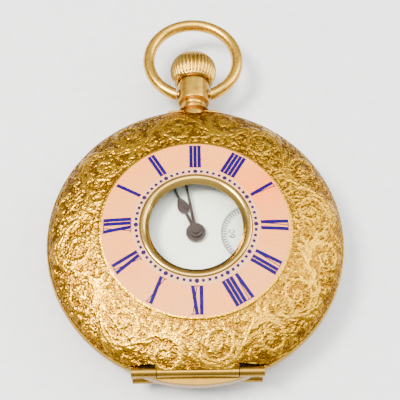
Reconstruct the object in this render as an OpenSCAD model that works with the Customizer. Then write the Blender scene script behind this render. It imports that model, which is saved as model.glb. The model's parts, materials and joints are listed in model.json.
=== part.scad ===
// Half-hunter keyless fob watch, lying on its back.
// Origin: centre of the flat disc that the back rests on.
// +Z out of the dial, +Y towards the pendant (III o'clock), -X towards XII.

/* [Case] */
// Radius of the case at its widest
case_r = 17.3; // [17.25:0.05:17.35]
// Height of the case's widest line above the back
equator_z = 5; // [5:0.02:5.04]
// Half-height of the narrow middle band
band_half = 0.5; // [0.46:0.02:0.52]
// Rise of the front lid above the widest line
lid_rise = 4.1; // [4.08:0.02:4.16]
// Thickness of the lid and the back
shell_t = 0.35; // [0.3:0.01:0.36]
// Radius of the flat disc that the watch rests on
rest_r = 8; // [7.8:0.1:8.2]

/* [Window] */
// Clear radius of the window in the lid
window_r = 5.3; // [5.1:0.1:5.3]
// Outer radius of the polished ring round the window
window_ring_r = 6.4; // [6.3:0.05:6.45]
// Outer radius of the enamel chapter ring
chapter_r = 10.7; // [10.6:0.05:10.75]

/* [Pendant] */
// Height of the winding axis above the back
stem_z = 4.75; // [4.74:0.01:4.76]
// Radius of the pendant's barrel
pendant_r = 2; // [1.94:0.02:2]
// Distance from the case's centre to the bow's pivot
bow_pivot_y = 20.2; // [20.15:0.05:20.25]
// Radius of the bow's loop, to the middle of its wire
bow_r = 5.8; // [5.75:0.05:5.85]
// Radius of the bow's wire
bow_wire_r = 0.76; // [0.7:0.02:0.76]
// Radius of the crown
crown_r = 3; // [2.8:0.05:3.05]
// Flutes round the crown
crown_flutes = 36; // [30:2:40]

/* [Time shown] */
// Hour hand, degrees clockwise from XII
hour_angle = 66.65; // [0:0.05:360]
// Minute hand, degrees clockwise from XII
minute_angle = 79.8; // [0:0.1:360]
// Seconds hand, degrees clockwise from the 60
second_angle = 108; // [0:6:360]

/* [Hidden] */

// roundness of the domes, higher is flatter with a tighter edge
lid_power = 2.2;
back_power = 3;
cuvette_power = 3.3;

// heights of the movement's layers
ratchet_z = 1.30;
bridge_z = 1.65;
bridge_top_z = 2.30;
third_z = 2.40;
barrel_z = 2.42;
barrel_teeth_z = 3.05;
hairspring_z = 2.36;
balance_z = 2.50;
fourth_z = 2.75;
roller_z = 2.93;
pallet_z = 3.12;
centre_z = 3.42;
plate_z = 3.85;
plate_top_z = 5.30;
dial_z = 5.80;
dial_top_z = 6.20;
second_hand_z = 6.25;
hour_hand_z = 6.45;
minute_hand_z = 6.84;
wheel_t = 0.15;
plate_r = 12.3;
bridge_r = 11.9;

// pivots, jewels and screws
pivot_r = 0.09;
jewel_hole_r = 0.12;
jewel_r = 0.5;
screw_r = 0.25;
screw_head_r = 0.55;

// teeth
centre_teeth = 80;
third_teeth = 75;
fourth_teeth = 70;
escape_teeth = 15;
barrel_teeth = 72;
ratchet_teeth = 59;
crown_wheel_teeth = 24;
contrate_teeth = 20;
centre_module = 0.12;
third_module = 0.10;
fourth_module = 0.09;
barrel_module = 0.125;
centre_leaves = 12;
third_leaves = 10;
fourth_leaves = 10;
escape_leaves = 7;
winding_leaves = 10;
winding_module = 0.174;

// arbor places
centre_p = [0, 0];
third_p = [4.141, 3.466];
fourth_p = [6.6, 0];
balance_p = [1.2, -7.1];
train_step = (balance_p - fourth_p) / norm(balance_p - fourth_p);
escape_p = fourth_p + 3.465 * train_step;
fork_p = escape_p + 2.35 * train_step;
barrel_p = [-4.2, 3.2];
crown_wheel_p = [0, 8.7];
minute_wheel_p = polar(2.4, 215);
barrel_to_crown = norm(crown_wheel_p - barrel_p);
winding_wheels_module = 2 * barrel_to_crown / (ratchet_teeth + crown_wheel_teeth);

// hinges at the edge opposite the pendant
hinge_y = -15.95;
hinge_r = 0.58;
hinge_pin_r = 0.25;
hinge_mid = 4.4;
hinge_side = 7.1;
hinge_pin_half = hinge_side + 0.05;
hinge_gap = 0.06;
hinge_block_half = 9;
hinge_cut_y = -15.3;
front_hinge_z = 5.86;
back_hinge_z = 3.3;
cuv_hinge_y = -14.45;
cuv_hinge_z = 2.75;
cuv_hinge_r = 0.3;
cuv_pin_r = 0.14;
cuv_mid = 1.5;
cuv_rim_r = 14.35;
cuv_cut_y = -14.2;
inner_wall_r = 12.5;
pendant_foot_half = 3.3;
push_bore_r = 1.02;
spigot_r = 1.5;

function polar(r, a) = [r * cos(a), r * sin(a)];
function dir(p, q) = atan2(q[1] - p[1], q[0] - p[0]);
function clock(a) = 180 - a;
function steps(a, b, n) = [for (i = [0:n]) a + (b - a) * i / n];
function ease(a, b, n) = [for (i = [0:n]) a + (b - a) * sin(90 * i / n)];
function rev(v) = [for (i = [len(v) - 1:-1:0]) v[i]];

// height of a dome of radius rr and rise h above its base, at radius r
function dome(r, rr, h, n) = h * pow(max(0, 1 - pow(r / rr, n)), 1 / n);
back_depth = equator_z / dome(rest_r, case_r, 1, back_power);
function lid_out(r) = equator_z + dome(r, case_r, lid_rise, lid_power);
function lid_in(r) = equator_z + dome(r, case_r - shell_t - 0.12, lid_rise - shell_t, lid_power);
function back_out(r) = max(0, equator_z - dome(r, case_r, back_depth, back_power));
function back_in(r) = max(shell_t, equator_z - dome(r, case_r - 0.5, back_depth - shell_t, back_power));
function cuvette_out(r) = equator_z - dome(r, 15.3, 4.5, cuvette_power);
function cuvette_in(r) = equator_z - dome(r, 15.05, 4.25, cuvette_power);
function glass_out(r) = 6.75 + dome(r, 13.4, 1.4, lid_power);

module at(p, z = 0) {
    translate([p[0], p[1], z]) children();
}

module tube(outer, inner, h, fn = 48) {
    difference() {
        cylinder(r = outer, h = h, $fn = fn);
        translate([0, 0, -1]) cylinder(r = inner, h = h + 2, $fn = fn);
    }
}

module rod_x(r, l, fn = 32) {
    rotate([0, 90, 0]) cylinder(r = r, h = l, center = true, $fn = fn);
}

// on the winding axis, from y0 to y1
module rod_y(r, y0, y1, fn = 48) {
    translate([0, y1, stem_z]) rotate([90, 0, 0]) cylinder(r = r, h = y1 - y0, $fn = fn);
}

module box(lo, hi) {
    translate(lo) cube(hi - lo);
}

// teeth with straight flanks, one centred on angle 0
function gear_points(n, m) = [
    for (i = [0:n - 1])
        for (k = [[-0.24, -1.1], [-0.11, 0.8], [0.11, 0.8], [0.24, -1.1]])
            polar(n * m / 2 + k[1] * m, 360 / n * (i + k[0]))];

// a gear whose tooth, or gap, points along at_angle
module gear(n, m, h, at_angle = 0, gap = false) {
    rotate(at_angle + (gap ? 180 / n : 0)) linear_extrude(h) polygon(gear_points(n, m));
}

module crossings(arms, r0, r1, arm_w, h) {
    translate([0, 0, -1]) linear_extrude(h + 2) difference() {
        circle(r = r1, $fn = 64);
        circle(r = r0, $fn = 32);
        for (i = [0:arms - 1])
            rotate(360 / arms * i) translate([0, -arm_w / 2]) square([r1 + 1, arm_w]);
    }
}

module wheel(n, m, h, at_angle, gap, arms, hub_r, rim) {
    difference() {
        gear(n, m, h, at_angle, gap);
        crossings(arms, hub_r, n * m / 2 - rim, 0.35, h);
    }
}

// an arbor with a thin pivot at each end
module arbor(r, z0, z1) {
    translate([0, 0, z0]) cylinder(r = r, h = z1 - z0, $fn = 32);
    translate([0, 0, z0 - 0.3]) cylinder(r = pivot_r, h = z1 - z0 + 0.6, $fn = 24);
}

function spiral_edge(r0, r1, turns, seg, w) = [
    for (i = [0:turns * seg])
        polar(r0 + (r1 - r0) * i / (turns * seg) + w, 360 * i / seg)];

module spiral(r0, r1, turns, seg, w, h) {
    linear_extrude(h) polygon(concat(
        spiral_edge(r0, r1, turns, seg, w / 2), rev(spiral_edge(r0, r1, turns, seg, -w / 2))));
}

module wedge(a0, a1, r) {
    polygon(concat([[0, 0]], [for (a = steps(a0, a1, 8)) polar(r * 1.2, a)]));
}

/* ---- case ---- */

// solid round body just inside the outer surfaces of the back and the lid
module case_envelope(inset) {
    edge_r = case_r - 2 * inset;
    rotate_extrude($fn = 128) polygon(concat(
        [for (r = ease(0, edge_r, 14)) [r, back_out(r) + inset]],
        [for (r = rev(ease(0, edge_r, 14))) [r, lid_out(r) - inset]]));
}

// an outer knuckle at both ends of each hinge axis, joined by the wall between them
module hinge_block() {
    difference() {
        union() {
            intersection() {
                case_envelope(0.01);
                box([-hinge_block_half, -20, back_hinge_z],
                    [hinge_block_half, hinge_cut_y - hinge_gap, front_hinge_z]);
            }
            for (z = [front_hinge_z, back_hinge_z])
                translate([0, hinge_y, z]) rod_x(hinge_r, 2 * hinge_side);
        }
        box([-hinge_mid - hinge_gap, -20, front_hinge_z - 0.36], [hinge_mid + hinge_gap, 0, 8]);
        box([-hinge_mid - hinge_gap, -20, 0], [hinge_mid + hinge_gap, 0, back_hinge_z]);
    }
}

module hinge_bores() {
    for (z = [front_hinge_z, back_hinge_z])
        translate([0, hinge_y, z]) {
            rod_x(hinge_pin_r, 2 * hinge_pin_half);
            rod_x(hinge_r + 0.08, 2 * (hinge_mid + hinge_gap));
        }
    translate([0, cuv_hinge_y, cuv_hinge_z]) {
        rod_x(cuv_pin_r, 6);
        rod_x(cuv_hinge_r + 0.1, 2 * (cuv_mid + hinge_gap));
    }
}

module spring_pocket(a0, a1) {
    translate([0, 0, 5.6]) rotate([0, 0, a0])
        rotate_extrude(angle = a1 - a0, $fn = 96) translate([12.95, 0]) square([1.65, 1]);
}

case_screw_angles = [75, 262];
case_screw_at = 11.95;

module case_middle() {
    color("goldenrod") difference() {
        union() {
            rotate_extrude($fn = 160) polygon(concat(
                [[13.0, 2.75], [14.75, 2.75], [14.75, 3.6], [15.9, equator_z - band_half]],
                [for (a = [-60:20:60])
                    [case_r - 0.35 + 0.35 * cos(a), equator_z + band_half * sin(a) / sin(60)]],
                [[15.9, equator_z + band_half], [15.2, 5.9], [15.0, 6.38], [inner_wall_r, 6.38],
                 [inner_wall_r, plate_z], [13.0, plate_z]]));
            hinge_block();
        }
        hinge_bores();
        rod_y(push_bore_r, 12, 16);
        rod_y(spigot_r, 15, 18);
        spring_pocket(98, 160);
        spring_pocket(200, 258);
    }
}

module pendant() {
    color("goldenrod") difference() {
        union() {
            translate([0, 0, stem_z]) rotate([-90, 0, 0]) rotate_extrude($fn = 96) polygon(
                [[push_bore_r, 15], [spigot_r, 15], [spigot_r, case_r + 0.05], [2.05, case_r + 0.05],
                 [1.95, case_r + 0.18], [1.36, case_r + 0.4], [1.3, 17.85], [1.42, 17.92], [1.42, 18.1],
                 [1.33, 18.2], [1.33, 18.56], [1.55, 18.66], [pendant_r - 0.1, 18.72], [pendant_r, 18.86],
                 [pendant_r, 21.4], [pendant_r - 0.12, 21.9], [1.6, 22.18], [push_bore_r, 22.18]]);
            pendant_foot();
        }
        for (s = [-1, 1])
            translate([s * 1.8, bow_pivot_y, stem_z]) rod_x(0.4, 1.2);
    }
}

// low step on the band that the pendant stands on
module pendant_foot() {
    difference() {
        translate([0, 0, equator_z])
            box([-pendant_foot_half, 16.9, -0.45], [pendant_foot_half, case_r + 0.17, 0.45]);
        cylinder(r = case_r + 0.02, h = 9, $fn = 160);
        rod_y(spigot_r - 0.1, 15, 18);
    }
}

bow_end_x = 2.18;
bow_end_a = acos(bow_end_x / bow_r);
bow_centre_y = bow_pivot_y + bow_r * sin(bow_end_a);
module bow() {
    color("goldenrod") {
        difference() {
            translate([0, bow_centre_y, stem_z]) rotate([0, 0, -bow_end_a - 8])
                rotate_extrude(angle = 196 + 2 * bow_end_a, $fn = 120)
                    translate([bow_r, 0]) circle(r = bow_wire_r, $fn = 32);
            box([-bow_end_x, bow_pivot_y - 2, 0], [bow_end_x, bow_pivot_y + 2, 9]);
        }
        for (s = [-1, 1])
            translate([s * (bow_end_x - 0.1), bow_pivot_y, stem_z]) rod_x(0.36, 1.3);
    }
}

crown_y = 21.9;
crown_belly = 1.9;
crown_top = 2.6;
module crown() {
    color("gold") translate([0, crown_y, stem_z]) rotate([-90, 0, 0]) difference() {
        intersection() {
            linear_extrude(crown_belly + crown_top) polygon([for (i = [0:crown_flutes * 2 - 1])
                polar(i % 2 == 0 ? crown_r : crown_r - 0.28, 180 / crown_flutes * i)]);
            rotate_extrude($fn = 96) polygon(concat(
                [[0, 0], [crown_r - 0.62, 0], [crown_r - 0.52, 0.12], [crown_r - 0.15, 1.05]],
                [for (a = [0:15:90]) [crown_r * cos(a), crown_belly + crown_top * sin(a)]]));
        }
        translate([0, 0, -1]) cylinder(r = pendant_r + 0.13, h = 1.95, $fn = 64);
        translate([0, 0, -1]) cylinder(r = 1.5, h = 2.6, $fn = 48);
        translate([0, 0, -1]) cylinder(r = 0.42, h = 5, $fn = 32);
    }
}

groove_y = 11.75;
module stem() {
    color("lightsteelblue") difference() {
        union() {
            rod_y(0.42, 11.35, crown_y + 4);
            rod_y(0.3, 8.35, 11.4);
            rod_y(0.24, 7.2, 8.4);
        }
        difference() {
            rod_y(1, groove_y - 0.22, groove_y + 0.22);
            rod_y(0.22, groove_y - 1, groove_y + 1);
        }
    }
}

module push_sleeve() {
    color("gold") difference() {
        rod_y(push_bore_r - 0.04, 13.2, 22.9);
        rod_y(0.47, 12, 24);
    }
}

lid_rim_z = equator_z + band_half + 0.06;
enamel_t = 0.15;
module lid_shell() {
    seat_r = window_ring_r - 0.5;
    difference() {
        rotate_extrude($fn = 128) polygon(concat(
            [[seat_r, 8.7], [window_ring_r, 8.7]],
            [for (r = steps(window_ring_r, chapter_r, 8)) [r, lid_out(r) - enamel_t]],
            [for (r = ease(chapter_r, case_r - 0.15, 12)) [r, lid_out(r)]],
            [[case_r - 0.1, lid_rim_z], [case_r - 0.6, lid_rim_z]],
            [for (r = rev(ease(seat_r, case_r - 0.65, 14))) [r, lid_in(r)]]));
        box([-hinge_block_half - hinge_gap, -20, 0], [hinge_block_half + hinge_gap, hinge_cut_y, 9]);
        rod_y(spigot_r + 0.25, 14, 18);
    }
}

module front_lid() {
    color("goldenrod") difference() {
        union() {
            lid_shell();
            translate([0, hinge_y, front_hinge_z]) rod_x(hinge_r, 2 * hinge_mid);
            intersection() {
                case_envelope(0.08);
                union() {
                    box([-hinge_mid, hinge_y + 0.1, front_hinge_z], [hinge_mid, hinge_cut_y - 0.15, 6.8]);
                    box([-hinge_mid, hinge_y, 6.3], [hinge_mid, hinge_cut_y + 0.12, 7.0]);
                }
            }
        }
        translate([0, hinge_y, front_hinge_z]) rod_x(hinge_pin_r + 0.03, 20);
    }
}

// a thin layer that follows the front dome, from lift0 to lift1 above it
module dome_layer(r0, r1, lift0, lift1, n) {
    rotate_extrude($fn = 160) polygon(concat(
        [for (r = steps(r0, r1, n)) [r, lid_out(r) + lift0]],
        [for (r = steps(r1, r0, n)) [r, lid_out(r) + lift1]]));
}

module chapter_ring() {
    color("mistyrose") dome_layer(window_ring_r, chapter_r, -enamel_t, 0, 8);
}

glyph_w = [0.48, 0.94, 0.94];
NUMERALS = [[2, 0, 0], [0], [0, 0], [0, 0, 0], [0, 0, 0, 0], [1], [1, 0], [1, 0, 0], [1, 0, 0, 0],
            [0, 2], [2], [2, 0]];

function upto(v, w, i) = i == 0 ? 0 : w[v[i - 1]] + upto(v, w, i - 1);

module stroke(x0, x1, w, h) {
    polygon([[x0 - w / 2, 0], [x0 + w / 2, 0], [x1 + w / 2, h], [x1 - w / 2, h]]);
}

// one letter of a numeral, 0 is I, 1 is V, 2 is X, standing on y = 0
module glyph(kind, h) {
    thick = 0.39;
    thin = 0.08;
    half = glyph_w[kind] / 2 - 0.02;
    lean = half - thick / 2 - 0.02;
    if (kind == 0)
        stroke(0, 0, thick, h);
    if (kind == 1) {
        stroke(0, -lean, thick, h);
        stroke(0.1, lean, thin, h);
    }
    if (kind == 2) {
        stroke(lean, -lean, thick, h);
        stroke(-lean, lean, thin, h);
    }
    translate([-half, h - thin]) square([2 * half, thin]);
    if (kind != 1)
        translate([-half, 0]) square([2 * half, thin]);
}

module numeral(v, h) {
    total = upto(v, glyph_w, len(v));
    for (i = [0:len(v) - 1])
        translate([upto(v, glyph_w, i) + glyph_w[v[i]] / 2 - total / 2, 0]) glyph(v[i], h);
}

module numerals_2d(r0, h, size, skip = -1) {
    for (i = [0:11])
        if (i != skip)
            rotate(clock(30 * i) - 90) translate([0, r0]) scale(size) numeral(NUMERALS[i], h / size);
}

module track_2d(r, small, big) {
    for (i = [0:59])
        rotate(6 * i) translate([r, 0])
            if (i % 5 == 0)
                circle(r = big, $fn = 16);
            else
                square(small, center = true);
}

module chapter_numerals() {
    color("mediumblue") intersection() {
        dome_layer(7.2, 10.6, -0.03, 0.05, 4);
        translate([0, 0, 7]) linear_extrude(3) numerals_2d(7.3, 3.15, 1);
    }
}

module chapter_track() {
    color("slateblue") intersection() {
        dome_layer(6.44, 7.1, -0.03, 0.05, 1);
        translate([0, 0, 7]) linear_extrude(3) track_2d(6.76, 0.32, 0.25);
    }
}

module window_ring() {
    color("gold") rotate_extrude($fn = 160) polygon([
        [window_r + 0.25, 8.38], [window_ring_r - 0.5, 8.38], [window_ring_r - 0.5, 8.7],
        [window_ring_r, 8.7], [window_ring_r - 0.05, 8.86], [window_ring_r - 0.15, 8.95],
        [window_ring_r - 0.3, 9.0], [window_ring_r - 0.48, 8.98], [window_ring_r - 0.7, 8.86],
        [window_r, 8.5], [window_r, 8.46], [window_r + 0.25, 8.46]]);
}

lens_edge_r = window_r - 0.3;
module lid_glass() {
    color([0.85, 0.9, 0.9, 0.3]) rotate_extrude($fn = 128) polygon(concat(
        [[0, 8.3], [window_r + 0.23, 8.3], [window_r + 0.23, 8.44], [lens_edge_r, 8.44]],
        [for (r = rev(steps(0, lens_edge_r, 6))) [r, 8.44 + 0.14 * (1 - pow(r / lens_edge_r, 2))]]));
}

module front_hinge_pin() {
    color("goldenrod") translate([0, hinge_y, front_hinge_z]) rod_x(hinge_pin_r, 2 * hinge_pin_half);
}

module bezel() {
    color("goldenrod") rotate_extrude($fn = 128) polygon([
        [12.4, 6.42], [14.7, 6.42], [14.6, 6.55], [13.9, 6.93], [13.3, 7.1], [13.0, 7.1], [13.0, 6.75],
        [12.4, 6.75]]);
}

module crystal() {
    color([0.85, 0.9, 0.9, 0.3]) rotate_extrude($fn = 128) polygon(concat(
        [for (r = steps(0, 12.8, 12)) [r, glass_out(r)]],
        [[12.95, 7.05], [12.95, 6.78], [12.5, 6.78]],
        [for (r = rev(steps(0, 12.4, 12))) [r, glass_out(r) - 0.28]]));
}

module back_cover() {
    rim_z = equator_z - band_half - 0.06;
    color("goldenrod") difference() {
        union() {
            rotate_extrude($fn = 160) polygon(concat(
                [[0, 0]],
                [for (r = ease(rest_r, case_r - 0.1, 14)) [r, back_out(r)]],
                [[case_r - 0.1, rim_z], [case_r - 0.6, rim_z]],
                [for (r = rev(ease(rest_r, case_r - 0.6, 14))) [r, back_in(r)]],
                [[0, shell_t]]));
        }
        box([-hinge_block_half - hinge_gap, -20, -1], [hinge_block_half + hinge_gap, hinge_cut_y, 9]);
        rod_y(spigot_r + 0.25, 14, 18);
    }
    color("goldenrod") difference() {
        union() {
            translate([0, hinge_y, back_hinge_z]) rod_x(hinge_r, 2 * hinge_mid);
            intersection() {
                case_envelope(0.08);
                union() {
                    box([-hinge_mid, hinge_y + 0.1, 1.9], [hinge_mid, hinge_cut_y - 0.15, back_hinge_z]);
                    box([-hinge_mid, hinge_cut_y - 0.4, 1.5], [hinge_mid, hinge_cut_y + 0.12, 2.2]);
                }
            }
        }
        translate([0, hinge_y, back_hinge_z]) rod_x(hinge_pin_r + 0.03, 20);
    }
}

module back_hinge_pin() {
    color("goldenrod") translate([0, hinge_y, back_hinge_z]) rod_x(hinge_pin_r, 2 * hinge_pin_half);
}

module cuvette() {
    rim_z = 2.68;
    color("darkkhaki") difference() {
        union() {
            difference() {
                rotate_extrude($fn = 128) polygon(concat(
                    [for (r = ease(0, cuv_rim_r, 12)) [r, cuvette_out(r)]],
                    [[cuv_rim_r, rim_z], [cuv_rim_r - 0.3, rim_z]],
                    [for (r = rev(ease(0, cuv_rim_r - 0.3, 12))) [r, cuvette_in(r)]]));
                box([-6, -20, 0], [6, cuv_cut_y, 5]);
            }
            translate([0, cuv_hinge_y, cuv_hinge_z]) rod_x(cuv_hinge_r, 2 * cuv_mid);
            box([-cuv_mid, cuv_hinge_y - 0.15, 2.3], [cuv_mid, cuv_cut_y + 0.15, cuv_hinge_z - 0.1]);
        }
        translate([0, cuv_hinge_y, cuv_hinge_z]) rod_x(cuv_pin_r + 0.03, 20);
    }
}

module cuvette_hinge_pin() {
    color("goldenrod") translate([0, cuv_hinge_y, cuv_hinge_z]) rod_x(cuv_pin_r, 6);
}

module case_spring(a0, a1, r0, nose_a) {
    translate([0, 0, 5.68]) {
        rotate([0, 0, a0]) rotate_extrude(angle = a1 - a0, $fn = 96) translate([r0, 0]) square([0.35, 0.5]);
        at(polar(r0 - 0.12, nose_a)) difference() {
            cylinder(r = 0.55, h = 0.5, $fn = 32);
            translate([0, 0, -1]) cylinder(r = 0.2, h = 3, $fn = 24);
        }
    }
}

module lift_spring() {
    color("steelblue") case_spring(204, 250, 13.85, 204.5);
}

module lock_spring() {
    color("steelblue") case_spring(100, 156, 14.0, 155.5);
}

module case_screws() {
    color("steelblue") for (a = case_screw_angles)
        at(polar(case_screw_at, a), plate_z - 0.3) difference() {
            union() {
                cylinder(r = 0.85, h = 0.3, $fn = 32);
                cylinder(r = screw_r, h = 1.1, $fn = 24);
            }
            box([-1, -0.1, -0.5], [1, 0.1, 0.12]);
        }
}

/* ---- dial and hands ---- */
seconds_r = 3.75;

module dial() {
    color("ivory") difference() {
        translate([0, 0, dial_z]) cylinder(r = plate_r, h = dial_top_z - dial_z, $fn = 128);
        translate([0, 0, 5]) cylinder(r = 0.9, h = 2, $fn = 48);
        at(fourth_p, 5) cylinder(r = seconds_r, h = 2, $fn = 96);
    }
}

module dial_numerals() {
    color("black") translate([0, 0, dial_top_z]) linear_extrude(0.03) numerals_2d(8.6, 2.3, 0.85, 6);
}

module dial_track() {
    color("black") translate([0, 0, dial_top_z]) linear_extrude(0.03) {
        difference() {
            circle(r = 11.72, $fn = 128);
            circle(r = 11.66, $fn = 128);
        }
        difference() {
            circle(r = 11.25, $fn = 128);
            circle(r = 11.19, $fn = 128);
        }
        for (i = [0:59])
            rotate(6 * i) translate([11.22, -0.04 - (i % 5 == 0 ? 0.06 : 0)])
                square([0.47, 0.08 + (i % 5 == 0 ? 0.12 : 0)]);
    }
}

module seconds_dial() {
    color("lightgray") at(fourth_p, dial_z) tube(seconds_r, 0.25, 0.3, 96);
}

// the 60 at the top of the seconds dial
module sixty() {
    rotate(clock(0) - 90) translate([0, 2.05]) {
        translate([0.3, 0.4]) scale([0.62, 1]) difference() {
            circle(r = 0.4, $fn = 32);
            circle(r = 0.24, $fn = 32);
        }
        translate([-0.28, 0.26]) difference() {
            circle(r = 0.26, $fn = 32);
            circle(r = 0.12, $fn = 32);
        }
        polygon([[-0.54, 0.26], [-0.42, 0.3], [-0.3, 0.6], [-0.12, 0.72], [-0.12, 0.8], [-0.36, 0.72],
                 [-0.5, 0.5]]);
    }
}

module seconds_track() {
    color("dimgray") at(fourth_p, dial_z + 0.3) linear_extrude(0.03) {
        difference() {
            circle(r = 3.66, $fn = 96);
            circle(r = 3.54, $fn = 96);
        }
        for (i = [0:59])
            rotate(6 * i) translate([i % 5 == 0 ? 2.95 : 3.1, -0.07])
                square([(i % 5 == 0 ? 0.65 : 0.5), 0.14]);
        sixty();
    }
}

module spade(y, size) {
    polygon([for (t = [0:20:340])
        [0.5 * size * sin(t), y + size * (0.62 * -cos(t) + (cos(t) < 0 ? 0.35 * pow(-cos(t), 3) : 0))]]);
}

module hour_hand() {
    color("dimgray") rotate(clock(hour_angle) - 90) translate([0, 0, hour_hand_z]) difference() {
        union() {
            linear_extrude(0.15) {
                polygon([[-0.2, 0], [0.2, 0], [0.11, 7.5], [-0.11, 7.5]]);
                spade(3.55, 1.35);
                spade(8, 2.1);
            }
            cylinder(r = 1.14, h = 0.33, $fn = 64);
        }
        translate([0, 0, -1]) cylinder(r = 0.64, h = 3, $fn = 48);
    }
}

module minute_hand() {
    color("dimgray") rotate(clock(minute_angle) - 90) translate([0, 0, minute_hand_z]) difference() {
        union() {
            linear_extrude(0.12) polygon([[-0.22, 0], [0.22, 0], [0.06, 11.1], [0, 11.3], [-0.06, 11.1]]);
            cylinder(r = 0.72, h = 0.3, $fn = 48);
        }
        translate([0, 0, -1]) cylinder(r = 0.4, h = 3, $fn = 48);
    }
}

module seconds_hand() {
    color("dimgray") at(fourth_p, second_hand_z) rotate(clock(second_angle) - 90) difference() {
        union() {
            linear_extrude(0.07) polygon([[-0.1, -1], [0.1, -1], [0.03, 3.2], [-0.03, 3.2]]);
            cylinder(r = 0.35, h = 0.1, $fn = 32);
        }
        translate([0, 0, -1]) cylinder(r = 0.12, h = 3, $fn = 24);
    }
}

module cannon_pinion() {
    color("silver") difference() {
        union() {
            translate([0, 0, 5.34]) gear(12, 0.1, 0.16, dir(centre_p, minute_wheel_p), true);
            translate([0, 0, 5.34]) cylinder(r = 0.4, h = 7.45 - 5.34, $fn = 48);
        }
        translate([0, 0, 5]) cylinder(r = 0.24, h = 2.2, $fn = 32);
    }
}

module minute_wheel() {
    back = dir(minute_wheel_p, centre_p);
    color("goldenrod") at(minute_wheel_p) difference() {
        union() {
            translate([0, 0, 5.36]) gear(36, 0.1, 0.12, back, false);
            translate([0, 0, 5.4]) gear(10, 0.096, 0.32, back, true);
        }
        translate([0, 0, 5]) cylinder(r = 0.18, h = 2, $fn = 24);
    }
}

module hour_wheel() {
    color("goldenrod") difference() {
        union() {
            translate([0, 0, 5.58]) gear(40, 0.096, 0.12, dir(centre_p, minute_wheel_p), false);
            translate([0, 0, 5.58]) cylinder(r = 0.64, h = 1.2, $fn = 48);
        }
        translate([0, 0, 5]) cylinder(r = 0.44, h = 3, $fn = 48);
    }
}

/* ---- movement frame ---- */
bridge_screws = [polar(11, 118), polar(11, 150), polar(11, 192)];
train_screws = [polar(11, 33), polar(11, -24)];
cock_screw = polar(10.4, 233);
pallet_foot = fork_p + 2.2 * [-train_step[1], train_step[0]];
all_screws = concat(bridge_screws, train_screws, [cock_screw]);
fine_pivots = [third_p, escape_p, fork_p, balance_p];

module screw_holes(z0, z1) {
    for (p = all_screws)
        at(p, z0) cylinder(r = screw_r, h = z1 - z0, $fn = 24);
}

module main_plate() {
    color("lightgray") difference() {
        union() {
            translate([0, 0, plate_z]) cylinder(r = plate_r, h = plate_top_z - plate_z, $fn = 128);
            difference() {
                translate([0, 0, plate_top_z]) tube(plate_r, 11.6, dial_z - plate_top_z, 128);
                box([-3.2, 5, 5], [1.2, 13, 6]);
            }
            at(minute_wheel_p, plate_top_z) cylinder(r = 0.15, h = 0.45, $fn = 24);
            at([-2.2, groove_y], plate_top_z) cylinder(r = 0.2, h = 0.35, $fn = 24);
        }
        screw_holes(plate_z - 1, plate_z + 0.5);
        for (a = case_screw_angles)
            at(polar(case_screw_at, a), plate_z - 1) cylinder(r = screw_r, h = 1.8, $fn = 24);
        for (p = fine_pivots)
            at(p, plate_z - 1) cylinder(r = jewel_r, h = 1.5, $fn = 32);
        at(centre_p, 0) cylinder(r = 0.3, h = 9, $fn = 32);
        at(fourth_p, 0) cylinder(r = 0.22, h = 9, $fn = 24);
        at(barrel_p, plate_z - 1) cylinder(r = 0.26, h = 1.6, $fn = 24);
        at(crown_wheel_p, plate_z - 1) cylinder(r = 2.1, h = 1.25, $fn = 64);
        box([-1.25, 7.95, 3], [1.25, 11.1, 6]);
        rod_y(0.28, 6.7, 8);
        rod_y(0.47, 11, 13);
        box([-0.45, groove_y - 0.7, stem_z], [0.45, 13, 6]);
    }
}

module bridge_body(z0, z1) {
    translate([0, 0, z0]) linear_extrude(z1 - z0) children();
}

module barrel_bridge() {
    color("silver") difference() {
        union() {
            bridge_body(bridge_z, bridge_top_z) difference() {
                intersection() {
                    circle(r = bridge_r, $fn = 128);
                    wedge(63, 208, bridge_r);
                }
                circle(r = 1.9, $fn = 48);
            }
            bridge_body(bridge_top_z, plate_z) intersection() {
                difference() {
                    circle(r = bridge_r, $fn = 128);
                    circle(r = 10.2, $fn = 128);
                }
                wedge(108, 204, bridge_r);
            }
        }
        at(barrel_p) cylinder(r = 0.5, h = 9, $fn = 32);
        at(crown_wheel_p) cylinder(r = 1.97, h = 9, $fn = 64);
        at(click_p) cylinder(r = 0.2, h = bridge_top_z - 0.1, $fn = 24);
        screw_holes(0, 9);
    }
}

module train_bridge() {
    color("silver") difference() {
        union() {
            bridge_body(bridge_z, bridge_top_z) union() {
                intersection() {
                    circle(r = bridge_r, $fn = 128);
                    wedge(-44, 61, bridge_r);
                }
                circle(r = 1.6, $fn = 48);
            }
            bridge_body(bridge_top_z, plate_z) intersection() {
                difference() {
                    circle(r = bridge_r, $fn = 128);
                    circle(r = 10.2, $fn = 128);
                }
                wedge(-38, 50, bridge_r);
            }
        }
        for (p = [centre_p, third_p, fourth_p, escape_p])
            at(p) cylinder(r = jewel_r, h = 9, $fn = 32);
        screw_holes(0, 9);
    }
}

module balance_cock() {
    foot = polar(8.6, 234);
    across = [0.8, -0.6];
    color("silver") difference() {
        union() {
            bridge_body(bridge_z, bridge_top_z) {
                at(balance_p) circle(r = 1.6, $fn = 48);
                polygon([balance_p + [0, 1.6], foot + [-0.5, 2.4], foot + [1.8, -1.6],
                         balance_p + [0, -1.6]]);
                intersection() {
                    circle(r = bridge_r, $fn = 128);
                    wedge(218, 246, bridge_r);
                    polygon([polar(7, 210), polar(14, 210), polar(14, 250), polar(7, 250)]);
                }
            }
            bridge_body(bridge_top_z, plate_z) intersection() {
                difference() {
                    circle(r = bridge_r, $fn = 128);
                    circle(r = 9, $fn = 128);
                }
                wedge(219, 245, bridge_r);
            }
        }
        at(balance_p) cylinder(r = jewel_r, h = 9, $fn = 32);
        screw_holes(0, 9);
    }
}

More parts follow.
